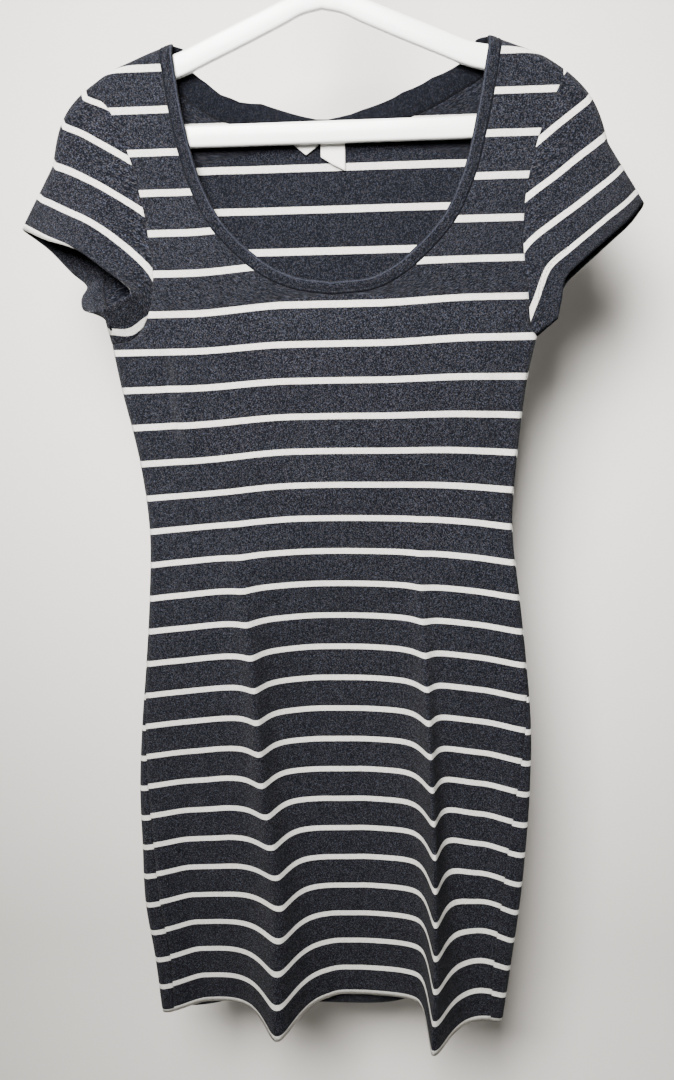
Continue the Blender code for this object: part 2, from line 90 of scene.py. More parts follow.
# Sizes of the dress, level by level
SECTION_COLUMNS = ("height", "left", "right", "wrap_l", "wrap_r", "roll",
                   "side_l", "flank_l", "middle", "flank_r", "side_r", "back", "bow")
SECTIONS = [
    (0, -177, 151, 16, 15, 6, 0, 12, 17, 0, -4, 27, 14),
    (57, -181, 158, 19, 19, 6, 1, 11, 18, 2, -3, 26, 14),
    (115, -187, 165, 18, 20, 6, 1, 9, 18, 5, -2, 26, 14),
    (174, -187, 170, 15, 19, 6, 3, 8, 19, 8, -1, 25, 14),
    (233, -186, 173, 12, 15, 6, 4, 7, 19, 8, 0, 24, 14),
    (293, -180, 173, 7, 8, 5, 3, 3, 18, 7, 0, 23, 14),
    (354, -172, 168, 3, 3, 5, 1, -2, 13, 6, 1, 19, 14),
    (415, -165, 161, 2, 2, 4, 0, -4, 5, 5, 2, 14, 13),
    (477, -161, 154, 2, 2, 4, -1, -3, 1, 5, 3, 12, 10),
    (539, -166, 157, 2, 2, 4, -2, -5, -3, 0, 1, 10, 6),
    (603, -178, 164, 2, 2, 5, -4, -7, -7, -6, -3, 9, 2),
    (637, -183, 171, 2, 2, 6, -6, -8, -8, -8, -6, 8, 0),
]
FOLD_COLUMNS = ("height", "x", "depth", "inner", "outer")
FRONT_FOLDS = {
    -1: [(0, -60, 66, 38, 35), (57, -59, 50, 33, 38), (115, -56, 36, 23, 37), (174, -62, 31, 20, 32),
         (233, -69, 26, 16, 24), (293, -71, 21, 14, 20), (354, -74, 15, 14, 18), (415, -79, 8, 16, 18),
         (477, -82, 2, 18, 18), (539, -84, 0, 20, 20), (637, -86, 0, 20, 20)],
    1: [(0, 84, 68, 8, 36), (57, 86, 60, 8, 27), (115, 87, 50, 11, 17), (174, 87, 40, 14, 11),
        (233, 85, 30, 17, 10), (293, 82, 22, 15, 10), (354, 79, 13, 16, 11), (415, 76, 6, 14, 14),
        (477, 75, 2, 16, 16), (539, 76, 0, 20, 20), (637, 78, 0, 20, 20)],
}
# How far the cloth beside the right fold and by the right seam is drawn up
RISE_COLUMNS = ("height", "inner", "outer")
RISES = [(0, 8, 4), (60, 6.5, 4), (108, 4.5, 4), (140, 4, 1.5), (184, 3, 0), (262, 2, 0), (317, 1, 0),
         (380, 0, 0)]
RISE_PLACES = {"inner": (66, 30), "outer": (142, 20)}
BACK_FOLDS = {
    -1: [(0, -98, 15, 34, 30), (174, -96, 11, 34, 30), (354, -90, 5, 34, 30), (477, -86, 0, 34, 30)],
    1: [(0, 72, 13, 32, 36), (174, 76, 10, 32, 36), (354, 84, 4, 32, 36), (477, 88, 0, 32, 36)],
}
FRONT_NECK = {
    -1: [(MID_X, -311), (-31, -305), (-60, -290), (-91, -260), (-108, -229), (-118, -196), (-124, -164),
         (-129, -129)],
    1: [(MID_X, -311), (40, -307), (71, -290), (103, -257), (119, -224), (127, -195), (134, -160),
        (139, -130)],
}
BACK_NECK = {
    -1: [(MID_X, -184), (-45, -181), (-83, -172), (-106, -159), (-121, -145), (-129, -129)],
    1: [(MID_X, -184), (45, -180), (79, -170), (106, -157), (128, -144), (139, -130)],
}
ARMHOLE = {
    -1: [(-183, -348), (-163, -343), (-149, -323), (-143.5, -292), (-148, -244), (-159, -195),
         (-172, -163), (-186, -151)],
    1: [(171, -348), (166, -339), (163, -315), (159, -286), (158, -255), (162, -222), (172, -184),
        (187, -151)],
}
BACK_ARMHOLE_OUT = (0.0, 1.2, 3.2, 4.0, 4.0, 3.2, 1.6, 0.0)
SHOULDER_LINE = [(100, -110), (120, -115.5), (135, -120), (150, -125.5), (170, -133.5), (187, -144),
                 (200, -153)]
SLEEVE_MOUTH = {
    (-1, "front"): [(-253, -1, -252), (-230, -12, -262), (-203, -18, -271), (-178, -20, -289),
                    (-160, -20, -304), (-167, -22, -312), (-184, -20, -319)],
    (-1, "back"): [(-253, 1, -253), (-235, 8, -268), (-218, 11, -287), (-205, 10, -299),
                   (-208, 2, -310), (-201, -12, -320), (-184, -20, -319)],
    (1, "front"): [(253, -1, -246), (243, -7, -257), (230, -11, -268), (205, -13, -289),
                   (192, -12, -302), (189, -9, -320), (187, -5, -334)],
    (1, "back"): [(253, 1, -248), (244, 6, -261), (228, 11, -276), (207, 12, -295),
                  (195, 10, -307), (190, 4, -321), (187, -5, -334)],
}
SLEEVE_CROWN = {-1: 9.0, 1: 7.0}
SLEEVE_CROWN_END = 0.55
SLEEVE_CROWN_REACH = 0.35
# Stripes between cuff and armhole, by share of the way down, and where the cuff's edge cuts the first
SLEEVE_STRIPE_COLUMNS = ("share", "stripes", "rim", "back_rim", "near_rim")
SLEEVE_STRIPES = {
    -1: [(0, 4.3, 0.0, 0.0, 0.0), (0.112, 4.0, 0.02, 0.0, 0.0), (0.3, 3.0, 0.09, 0.0, 0.0),
         (0.41, 2.36, 0.17, 0.0, 0.0), (0.472, 2.0, 0.2, 0.0, 0.0), (0.678, 1.0, 0.22, 0.12, 0.0),
         (0.76, 0.84, 0.22, 0.3, 0.0), (0.81, 0.9, 0.22, 0.42, 0.0), (0.85, 1.06, 0.24, 0.45, 0.0),
         (0.92, 1.18, 0.32, 0.45, 0.0), (1, 1.34, 0.45, 0.45, 0.0)],
    1: [(0, 4.1, -0.04, -0.04, -0.44), (0.29, 3.0, -0.17, -0.12, -0.47), (0.49, 2.0, -0.3, -0.22, -0.35),
        (0.67, 1.0, -0.5, -0.4, -0.05), (0.78, 0.55, -0.6, -0.52, 0.0), (0.93, 0.0, -0.7, -0.66, 0.0),
        (1, -0.2, -0.75, -0.75, 0.0)],
}

# Turned edges: depth up inside the hem or cuff, and how far in from the outer cloth they lie there
HEM_TURNS = ((20.0, 1.35), (14.0, 1.35), (8.0, 1.35), (3.0, 1.35), (0.8, 0.8))
CUFF_TURNS = ((0.8, 0.8), (3.0, 1.3), (8.0, 1.3), (14.0, 1.3), (20.0, 1.3))
TURN_TAKE = 0.8         # cloth taken up by the turn itself
CUFF_RIM = -0.9         # cloth position just inside the cuff's edge
SLEEVE_TURN = 0.8       # share of the seam's turn that a sleeve has
SHORTEST_SLEEVE = 26.0
SLEEVE_GIRTH = 290.0
SLEEVE_SEAM = SEAM_HALF * 1.2
SLEEVE_EVENING = 6
CREASE_END = 0.25       # share of a crease's height that is left at its ends

# Soft creases, as troughs (negative) or ridges in the cloth: ends (x and z), width and height
FRONT_CREASES = [
    (-140, -350, -133, -440, 6, -3.4), (-128, -352, -118, -455, 8, 2.2), (-152, -352, -120, -395, 7, -2.2),
    (150, -345, 138, -430, 9, -1.2), (128, -360, 118, -470, 10, 0.9), (-96, -330, -84, -520, 14, 0.8),
    (-70, -470, -20, -505, 12, -0.9), (40, -480, 110, -455, 13, -0.8), (-120, -520, -60, -545, 11, 0.8),
    (60, -560, 120, -535, 12, 0.8), (-10, -400, 60, -425, 18, 0.6), (5, -330, 10, -420, 12, -0.7),
    (-130, -690, -110, -880, 13, 1.3), (-150, -780, -140, -960, 10, -1.2), (20, -700, 28, -900, 16, -0.9),
    (120, -720, 124, -880, 11, 1.1), (135, -860, 128, -975, 9, -1.0), (-22, -800, -30, -960, 14, 0.8),
    (-118, -150, -138, -240, 7, 0.8), (136, -160, 146, -250, 8, 0.9), (-60, -318, -110, -300, 9, -0.6),
]
BACK_CREASES = [
    (-60, -210, -30, -330, 14, 0.9), (50, -215, 66, -350, 16, -0.8), (-120, -320, -90, -420, 12, 1.2),
    (126, -330, 96, -430, 11, 1.1), (-80, -470, -10, -500, 13, -1.1), (20, -500, 100, -478, 12, -1.2),
    (-110, -540, -30, -560, 12, 1.0), (10, -570, 92, -548, 13, 0.9), (-40, -640, -52, -900, 20, 1.4),
    (10, -720, 16, -960, 18, -1.3), (125, -700, 132, -900, 12, 1.2), (-150, -720, -146, -930, 12, -1.0),
    (0, -200, 4, -300, 12, 0.5), (-100, -190, -70, -240, 10, -0.8), (96, -190, 70, -250, 10, -0.7),
]
SLEEVE_CREASES = {
    -1: [(-176, -175, -230, -245, 9, -1.2), (-160, -215, -205, -262, 9, 1.3),
         (-152, -262, -178, -284, 6, -1.2), (-200, -165, -222, -205, 10, 0.9)],
    1: [(176, -175, 232, -240, 10, -1.0), (170, -225, 215, -272, 9, 1.0), (166, -285, 186, -300, 6, -1.1),
        (196, -165, 222, -200, 10, 0.7)],
}

# Cross-section of the folded neck band: in from its seam, and up from its middle
BAND_PROFILE = [(-0.5, 0.5), (0.4, 0.95), (1.9, 1.15), (2.5, 0.45), (3.1, 1.2), (5.0, 1.3), (7.8, 1.3),
                (9.4, 1.0), (10.1, 0.4), (10.1, -0.4), (9.4, -0.98), (5.0, -1.2), (1.2, -1.0), (-0.5, -0.5)]
BAND_WIDTH = 10.0
BAND_SMOOTHING = 14
BAND_WAVES = ((31.0, 0.5, 0.6), (67.0, 0.8, 1.1), (17.0, 0.25, 2.3))
BAND_SPREAD = 0.85      # how much wider the band stands at the sides of the back neck
BAND_SPREAD_REACH = 62.0
BAND_STITCH = 2.5
BAND_GAP = 0.25
BAND_STEP = 0.8         # shortest step along the band
BAND_BEHIND = (1.0, 6.0)    # depth over which the front of the band passes into its back
BAND_FRONT_SWAY = 0.25
BAND_SWAY_WIDTH = 0.06

# Hanger outline, right half
ARM_TOP = [(0, -75.5), (6, -77), (16, -80), (30, -86), (60, -98.5), (90, -111), (114, -121), (130, -124.5),
           (150, -128), (170, -135.2), (185, -146.5), (196, -157), (203, -167)]
TIP = [(204.5, -176), (202, -185), (196, -191), (187, -193)]
HOLE = [(0, -94), (16, -97.5), (30, -104), (60, -117), (90, -129.5), (116, -140), (150, -148),
        (170, -156), (184, -165), (188, -171), (184, -176)]
BAR_LOW = -193.0
BAR_HIGH = -176.0
HOOK_INNER = 17.0
HOOK_WIDTH = 9.0
HOOK_STEM = [(0.0, -80.0), (0.0, -70.0), (0.0, -60.0), (1.5, -50.0), (6.5, -42.0)]
HOOK_START = -48.0
HOOK_END = 208.0
HOOK_ROOT = 15.0

# Tags at the back neck: outline corners (x, z) from the seam down and round
LABEL_OUTLINES = {
    "brand_tag": [(-25.5, -181.0), (-25.5, -192.5), (-15.5, -200.5), (-5.5, -193.5), (-5.5, -181.0)],
    "size_tag": [(-3.5, -181.0), (-3.5, -202.5), (6.0, -208.5), (16.0, -213.5), (16.0, -181.0)],
}
LABEL_DEPTH = 5.1

# Camera that took the picture: place in metres and turns in degrees
CAMERA_PLACE = (0.0648, -0.8466, -0.3456)
CAMERA_PITCH = -11.44165
CAMERA_YAW = 4.14511
CAMERA_ROLL = 1.17940
CAMERA_LENS = 33.333
CAMERA_SENSOR = 36.0

# Grid of the panels
FRONT_INNER = 26
FRONT_OUTER = 36
INNER_CROWDING = 1.5
OUTER_CROWDING = 1.35
BACK_FLAT = 40
BACK_WRAP = 12
ROW_STEP = 4.5
UPPER_ROWS = 12         # rows of the cut from underarm to shoulder
UPPER_FINE = 4          # finer rows in each of those
ROLL_TURNS = np.radians(np.arange(10, 91, 10))
NECK_ROW = {"front": 2, "back": 8}
SETTLE_ROWS = 3.0
FOLD_CLEAR = 20.0       # out from the middle to where a fold may have its full depth
SLEEVE_ROWS = np.linspace(0, 1, 34)
RIM_POWER = 6           # how closely the near-rim stripe shift keeps to the cuff

# Cloth pieces: the node each stands for, its flat cut in metres and its area in square metres
CUTS = {
    "front_cloth": ("front_panel", (0.47, 0.9), 0.32),
    "back_cloth": ("back_panel", (0.45, 0.9), 0.31),
    "left_sleeve_cloth": ("sleeve_left", (0.34, 0.17), 0.035),
    "right_sleeve_cloth": ("sleeve_right", (0.34, 0.17), 0.031),
}
BAND_BACK_CLOTH = 22    # cloth position where the band's turned-under half starts
TAGS = {"brand_tag": ("brand_label", 0.4), "size_tag": ("size_label", 0.9)}     # node and curl
TAG_THICKNESS = 0.0005
TAG_STEPS = 15
TAG_CUP = 0.15

# Sewing: depths of the double rows, height off the cloth, seeds and thread widths
HEM_ROWS = (16.0, 19.0)
CUFF_ROWS = (16.0, 18.5)
STITCH_LIFT = 0.1
SEEDS = {"hem": 3, "cuff": 5, "neck": 7}
CUFF_THREAD = 0.8
NECK_ROWS = {"neck_stitches_1": 0.62, "neck_stitches_2": -1.2}

# Steps along the hanger and round its edges
ARM_STEPS = 70
TIP_STEPS = 24
BAR_STEPS = 50
EDGE_STEPS = 6
CROWN_SHARES = (0.3, 0.5, 0.7)
CROWN = 0.35
WIDEST_EDGE = (0.45, 0.95)      # largest edge radius, as shares of the width and of half the depth
BEND_STEPS = 60
HOOK_STEPS = 110
HOOK_FINE = 6
HOOK_SIDES = 28
HOOK_SQUARE = 0.62      # under 1 squares the hook's round section
HOOK_ROOT_REACH = 26.0
HOOK_TIP = 4.0
HOOK_POINT = 0.02

# Jersey patterns: scale, detail and roughness
JERSEY_NOISES = {"fine": (900.0, 2.0, 0.65), "middle": (330.0, 2.0, 0.6), "broad": (16.0, 3.0, 0.55),
                 "tint": (520.0, 2.0, 0.6), "jag": (700.0, 1.0, 0.5), "pill": (420.0, 3.0, 0.6)}
LOOP_SLANT = 1.3        # how steeply the two legs of a loop meet
FLECK_POWER = 3.4       # higher leaves fewer pale loops
FLECK_GRAIN = 0.22
REVERSE_FLECK = 0.62
LOOP_SHADE = (0.004, 0.005, 0.008)
STRIPE_JAG = 0.0006
STRIPE_FADE = 0.006
HEM_STRIPE_LOW = (-0.035, -0.02)    # pitches over which the hem's stripe fades in
HEM_STRIPE_HIGH = (-0.02, -0.008)   # and out, from its full height
# Binding, as cloth positions in metres: painted shade by its seam, a painted highlight line at its fold,
# painted shade over its edge
BAND_SEAM_SHADE = (0.0004, 0.0016)
BAND_FOLD_HIGHLIGHT = ((0.0080, 0.0085), (0.0090, 0.0095))
BAND_EDGE_SHADE = (0.0092, 0.0102)

# Stage in metres, and its lights: place, target, size, colour and spread in degrees
FLOOR = -1.35
CEILING = 2.2
WALL = 0.15
PAPER_REACH = 3.0
SWEEP_RADIUS = 0.35
LIGHTS = {
    "key": ((-0.25, -1.15, 0.4), (0.0, 0.0, -0.26), 0.7, (1.0, 0.98, 0.95), 70),
    "fill": ((1.6, -1.4, -0.2), (0.0, 0.0, -0.5), 1.2, (0.95, 0.97, 1.0), 180),
    "rear": ((0.7, 1.3, -0.4), (0.0, 0.0, -0.4), 0.8, (1.0, 0.98, 0.95), 80),
}
ROOM_COLOUR = (0.9, 0.95, 1.0, 1.0)


def blend(value, start, end):
    """Smooth step from 0 at start to 1 at end."""
    share = np.clip((np.asarray(value, float) - start) / (end - start), 0.0, 1.0)
    return share * share * (3.0 - 2.0 * share)


def smooth_through(knots, values, at):
    """Smooth curve through the values at the knots, held level beyond both ends."""
    knots, values = np.asarray(knots, float), np.asarray(values, float)
    at = np.clip(np.asarray(at, float), knots[0], knots[-1])
    index = np.clip(np.searchsorted(knots, at, side="right") - 1, 0, len(knots) - 2)
    last = len(knots) - 1
    high, low = np.minimum(np.arange(last + 1) + 1, last), np.maximum(np.arange(last + 1) - 1, 0)
    slopes = (values[high] - values[low]) / (knots[high] - knots[low])
    span = knots[index + 1] - knots[index]
    part = (at - knots[index]) / span
    square, cube = part * part, part ** 3
    return ((2 * cube - 3 * square + 1) * values[index] + (cube - 2 * square + part) * span * slopes[index]
            + (3 * square - 2 * cube) * values[index + 1] + (cube - square) * span * slopes[index + 1])


def column(table, columns, name, at):
    """One named column of a table, read smoothly along its first column."""
    rows = np.array(table, float)
    return smooth_through(rows[:, 0], rows[:, columns.index(name)], at)


def lengths_of(points):
    """Length from the first point to each one."""
    steps = np.linalg.norm(np.diff(points, axis=0), axis=1)
    return np.concatenate([[0.0], np.cumsum(steps)])


def unit(vectors):
    """Vectors at length 1."""
    return vectors / np.maximum(np.linalg.norm(vectors, axis=-1, keepdims=True), 1e-9)


def evened(ways, rounds):
    """Directions round a loop, each evened out with its neighbours."""
    for _ in range(rounds):
        ways = unit((np.roll(ways, 1, axis=0) + 2 * ways + np.roll(ways, -1, axis=0)) / 4)
    return ways


def closed(row):
    """A row with its first point again at its end."""
    return np.concatenate([row, row[:1]])


def between(first, second, part):
    """Straight mix: the first at part 0 and the second at part 1."""
    return first * (1 - part) + second * part


def along(points, shares, steps=24):
    """Points at shares of the length of the smooth curve through the given ones."""
    points = np.array(points, float)
    knots = np.arange(len(points))
    fine = np.linspace(0, len(points) - 1, steps * (len(points) - 1) + 1)
    curve = np.stack([smooth_through(knots, points[:, axis], fine) for axis in range(points.shape[1])], 1)
    lengths = lengths_of(curve)
    target = np.asarray(shares, float) * lengths[-1]
    return np.stack([np.interp(target, lengths, curve[:, axis]) for axis in range(points.shape[1])], -1)


def stripe_of(height):
    """Number of stripe pitches up from the hem at a height on the front."""
    growth = STRIPE_GROWTH
    return (-1.0 + np.sqrt(1.0 + 4.0 * growth * np.asarray(height, float) / STRIPE_STEP)) / (2.0 * growth)


def drift_of(sign, face, points):
    """Drift of the stripes at points of a panel, in stripe pitches."""
    height = points[..., 2] + HANG_HEIGHT
    if face == "back":
        return column(STRIPE_DRIFTS, DRIFT_COLUMNS, "back", height)
    out = blend(np.abs(points[..., 0] - MID_X), DRIFT_START, DRIFT_FULL)
    return out * column(STRIPE_DRIFTS, DRIFT_COLUMNS, "left" if sign < 0 else "right", height)


def shoulder_height(x):
    """Height of the shoulder line, alike on both sides."""
    line = np.array(SHOULDER_LINE, float)
    return smooth_through(line[:, 0], line[:, 1], np.abs(x))


def fold_shape(x, fold, height):
    """1 at the tip of a fold, falling to 0 over its two reaches."""
    offset = np.abs(x) - abs(column(fold, FOLD_COLUMNS, "x", height))
    inner = column(fold, FOLD_COLUMNS, "inner", height)
    outer = column(fold, FOLD_COLUMNS, "outer", height)
    share = np.hypot(offset / np.where(offset > 0, outer, inner), FOLD_ROUND) - FOLD_ROUND
    return np.exp(-((FOLD_TIP * share) ** FOLD_POWER))


class Level:
    """One height of the dress below the underarm, for the side at sign."""

    def __init__(self, sign, height):
        def size(name):
            return float(column(SECTIONS, SECTION_COLUMNS, name, height))
        ending = "_l" if sign < 0 else "_r"
        self.sign, self.height = sign, height
        self.edge = abs(size("left" if sign < 0 else "right") - MID_X)
        self.roll, self.wrap = size("roll"), size("wrap" + ending)
        self.side, self.flank = size("side" + ending), size("flank" + ending)
        self.middle, self.back, self.bow = size("middle"), size("back"), size("bow")
        self.flat = self.edge - self.roll
        self.turn = self.roll * math.pi / 2
        self.fold_x = abs(float(column(FRONT_FOLDS[sign], FOLD_COLUMNS, "x", height)) - MID_X)

    def place(self, out, depth, lift):
        x = MID_X + self.sign * out
        return np.stack([x, depth, np.full_like(x, self.height - HANG_HEIGHT) + lift], -1)

    def round_roll(self, lengths):
        """Turn round the side's roll and distance out, at lengths along the cloth from the middle."""
        turn = np.clip((lengths - self.flat) / self.roll, 0.0, None)
        return turn, np.minimum(lengths, self.flat) + self.roll * np.sin(turn)

    def folded(self, fold, out):
        """Depth of a fold out from the middle."""
        amount = column(fold, FOLD_COLUMNS, "depth", self.height)
        return amount * fold_shape(MID_X + self.sign * out, fold, self.height)

    def bowed(self, out):
        """How far the hem's bow lifts the cloth."""
        return self.bow * (1 - (out / self.edge) ** 2)

    def front(self, lengths):
        """Points along the front face, at lengths from the middle."""
        turn, out = self.round_roll(lengths)
        share = np.minimum(out / self.flat, 1.0)
        depth = self.middle + (self.flank - self.middle) * blend(share, FRONT_FLANK_START, FRONT_FLANK_END)
        depth += (self.side - self.flank) * blend(share, FRONT_SIDE_START, 1.0)
        depth += self.roll * (1 - np.cos(turn))
        amount = self.folded(FRONT_FOLDS[self.sign], out) * blend(out, 0.0, FOLD_CLEAR)
        lift = self.bowed(out) - (1 - FOLD_AS_DEPTH) * amount * (EYE_HEIGHT - self.height) / FOLD_RANGE
        for name, (x, reach) in RISE_PLACES.items():
            rise = column(RISES, RISE_COLUMNS, name, self.height)
            lift += rise * np.exp(-((MID_X + self.sign * out - x) / reach) ** 2)
        return self.place(out, depth - FOLD_AS_DEPTH * amount, lift)

    def rear(self, lengths):
        """Points along the back face, at lengths from the middle."""
        turn, out = self.round_roll(lengths)
        reach = self.side + 2 * self.roll
        depth = self.back + (reach - self.back) * blend(out / self.flat, BACK_SIDE_START, 1.0)
        depth -= self.roll * (1 - np.cos(turn))
        depth += self.folded(BACK_FOLDS[self.sign], out)
        return self.place(out, depth, self.bowed(out) * BACK_BOW)

    def front_row(self):
        """From the middle of the front to the seam, closest together at the fold."""
        seam = self.flat + self.turn - self.wrap - SEAM_HALF
        inner = 1 - (1 - np.linspace(0, 1, FRONT_INNER + 1)) ** INNER_CROWDING
        outer = np.linspace(0, 1, FRONT_OUTER + 1)[1:] ** OUTER_CROWDING
        return self.front(np.concatenate([inner * self.fold_x, self.fold_x + outer * (seam - self.fold_x)]))

    def back_row(self):
        """From the middle of the back outwards, round the roll and on to the seam in front."""
        flat = self.rear(np.linspace(0, 1, BACK_FLAT + 1) * self.flat)
        arcs = np.linspace(0, 1, BACK_WRAP + 1)[1:] * (self.turn + self.wrap - SEAM_HALF)
        round_roll = self.rear(self.flat + np.minimum(arcs, self.turn))
        ahead = self.front(self.flat + 2 * self.turn - np.maximum(arcs, self.turn))
        return np.concatenate([flat, np.where((arcs <= self.turn)[:, None], round_roll, ahead)])


def creased(points, table, outward):
    """Soft troughs and ridges of the table, pushed along Y, as seen from the front or back."""
    points = points.copy()
    for x0, z0, x1, z1, width, height in table:
        start, run = np.array([x0, z0], float), np.array([x1 - x0, z1 - z0], float)
        away = points[..., [0, 2]] - start
        share = np.clip((away @ run) / (run @ run), 0.0, 1.0)
        near = np.linalg.norm(away - share[..., None] * run, axis=-1)
        ends = CREASE_END + (1 - CREASE_END) * np.sin(np.pi * np.clip(share, 0.02, 0.98)) ** 0.7
        points[..., 1] += outward * height * ends * np.exp(-(near / width) ** 2)
    return points


class PanelHalf:
    """Grid of points for one half of the front or back, from hem to shoulder, with its cloth position."""

    def __init__(self, sign, face):
        self.sign, self.face = sign, face
        self.outward = -1.0 if face == "front" else 1.0
        heights = np.linspace(0, UNDERARM_HEIGHT, int(UNDERARM_HEIGHT / ROW_STEP) + 1)
        rows, stripes = [], []
        for height in heights:
            level = Level(sign, float(height))
            rows.append(level.front_row() if face == "front" else level.back_row())
            stripes.append(np.full(len(rows[-1]), float(stripe_of(height))))
        self.lower = len(rows)
        for row in self.upper(rows[-1]):
            rows.append(row)
            stripes.append(stripe_of(row[:, 2] + HANG_HEIGHT))
        creases = FRONT_CREASES if face == "front" else BACK_CREASES
        self.points = creased(np.array(rows), creases, self.outward)
        self.stripes = np.array(stripes)
        self.shoulder = len(self.points) - len(ROLL_TURNS)
        roll_start = stripe_of(self.points[self.shoulder][:, 2] + HANG_HEIGHT)
        for step, run in enumerate(lengths_of(np.stack([np.cos(ROLL_TURNS), np.sin(ROLL_TURNS)], 1))):
            self.stripes[self.shoulder + step] = roll_start + run * ROLL_RADIUS / PITCH
        self.stripes = self.stripes + drift_of(sign, face, self.points)

    def upper(self, low_row):
        """Rows from the underarm to the top of the shoulder's roll."""
        armhole = np.array(ARMHOLE[self.sign], float)
        if self.face == "back":
            armhole[:, 0] += self.sign * np.array(BACK_ARMHOLE_OUT)
        neck = np.array((FRONT_NECK if self.face == "front" else BACK_NECK)[self.sign], float)
        for edge in (armhole, neck):
            edge[-1, 1] = shoulder_height(edge[-1, 0]) - ROLL_RADIUS
        lengths = lengths_of(low_row)
        shares = lengths / lengths[-1]
        neck_row = NECK_ROW[self.face]
        rows = []
        for step in np.arange(1, UPPER_ROWS * UPPER_FINE + 1) / UPPER_FINE:
            outer = along(armhole, step / UPPER_ROWS)
            if step <= neck_row:
                rise = (blend(step, 0.0, neck_row) + step / neck_row) / 2
                inner = np.array([MID_X, low_row[0, 2] + (neck[0, 1] - low_row[0, 2]) * rise])
            else:
                inner = along(neck, (step - neck_row) / (UPPER_ROWS - neck_row))
            settle = blend(step, 0.0, SETTLE_ROWS)
            flat = inner + (outer - inner) * shares[:, None]
            depth = low_row[:, 1] + (self.outward * ROLL_RADIUS - low_row[:, 1]) * settle
            rows.append(np.stack([flat[:, 0], depth, flat[:, 1]], 1))
        last = rows[-1]
        for turn in ROLL_TURNS:
            depth = self.outward * max(ROLL_RADIUS * math.cos(turn), SEAM_HALF)
            top = shoulder_height(last[:, 0]) - ROLL_RADIUS + ROLL_RADIUS * math.sin(turn)
            rows.append(np.stack([last[:, 0], np.full(len(last), depth), top], 1))
        return rows

    def neck_start(self):
        """First row at the neckline."""
        return self.lower - 1 + NECK_ROW[self.face] * UPPER_FINE

    def normals(self):
        """Unit normals out of the cloth, alike for both halves at the middle."""
        normal = np.cross(np.gradient(self.points, axis=1), np.gradient(self.points, axis=0))
        normal[:, 0, 0] = 0.0
        return -self.sign * self.outward * unit(normal)


def turned_edge(points, normals):
    """Two more columns that tuck a panel's edge in at its seam."""
    run = unit(points[:, -1] - points[:, -2])
    return [points[:, -1] + run * on - normals[:, -1] * down for on, down in SEAM_TURN]


def grid_mesh(name, grids, cyclic=False):
    """Mesh from grids of (points, cloth u, cloth v) in millimetres, with a UV map named cloth."""
    verts, faces, coords = [], [], []
    for points, u, v in grids:
        rows, cols = points.shape[:2]
        base = len(verts)
        verts.extend((points.reshape(-1, 3) * MM).tolist())
        coords.extend(np.stack([u, v], -1).reshape(-1, 2).tolist())
        for row in range(rows - 1):
            low, high = base + row * cols, base + (row + 1) * cols
            for col in range(cols if cyclic else cols - 1):
                after = (col + 1) % cols
                faces.append((low + col, low + after, high + after, high + col))
    mesh = bpy.data.meshes.new(name)
    mesh.from_pydata(verts, [], faces)
    layer = mesh.uv_layers.new(name="cloth")
    corners = np.empty(len(mesh.loops), dtype=np.int32)
    mesh.loops.foreach_get("vertex_index", corners)
    pairs = np.array(coords) * MM
    layer.data.foreach_set("uv", pairs[corners].astype(np.float32).ravel())
    return mesh


def unmapped(points):
    """Grid of a piece whose finish doesn't read its cloth coordinates."""
    return points, np.zeros(points.shape[:2]), np.zeros(points.shape[:2])



def merged(mesh, distance=CLOTH_MERGE):
    """The mesh with its doubles merged and its faces turned outwards."""
    bm = bmesh.new()
    bm.from_mesh(mesh)
    bmesh.ops.remove_doubles(bm, verts=bm.verts, dist=distance)
    bmesh.ops.recalc_face_normals(bm, faces=bm.faces)
    bm.to_mesh(mesh)
    bm.free()
    return mesh


def scene():
    return bpy.context.scene


def linked(name, data):
    """New object in the scene."""
    thing = bpy.data.objects.new(name, data)
    scene().collection.objects.link(thing)
    return thing


def add_object(name, mesh, material):
    mesh.shade_smooth()
    mesh.materials.clear()
    mesh.materials.append(material)
    return linked(name, mesh)


def thicken(thing, thickness, reverse=None):
    """Gives a sheet its thickness, and its inner side a finish of its own where one is given."""
    thing.data.materials.append(reverse or thing.data.materials[0])
    solid = thing.modifiers.new("cloth thickness", "SOLIDIFY")
    solid.thickness = thickness
    solid.material_offset = 1
    solid.offset = 0.0


def baked(thing):
    """The object with its modifiers turned into a plain mesh."""
    bpy.context.view_layer.update()
    mesh = bpy.data.meshes.new_from_object(thing.evaluated_get(bpy.context.evaluated_depsgraph_get()))
    thing.modifiers.clear()
    old = thing.data
    thing.data = mesh
    mesh.name = thing.name
    bpy.data.meshes.remove(old)
    return thing


def fill(tree, slot, value):
    """Links or sets one input socket."""
    if isinstance(value, Value):
        value = value.socket
    if isinstance(value, bpy.types.NodeSocket):
        tree.links.new(value, slot)
    else:
        slot.default_value = value


def add_node(tree, kind, settings=None, **inputs):
    """New node: its settings first, then values or links of its sockets, by name."""
    node = tree.nodes.new(kind)
    for name, value in (settings or {}).items():
        setattr(node, name, value)
    for name, value in inputs.items():
        slots = [slot for slot in node.inputs if slot.name == name.replace("_", " ") and slot.enabled]
        fill(tree, slots[0], value)
    return node


def operation(kind, swapped=False):
    """Method of Value that adds one Math node."""
    def method(self, *others):
        items = (*others, self) if swapped else (self, *others)
        node = add_node(self.tree, "ShaderNodeMath", {"operation": kind})
        for slot, item in zip(node.inputs, items):
            fill(self.tree, slot, item)
        return Value(self.tree, node.outputs[0])
    return method


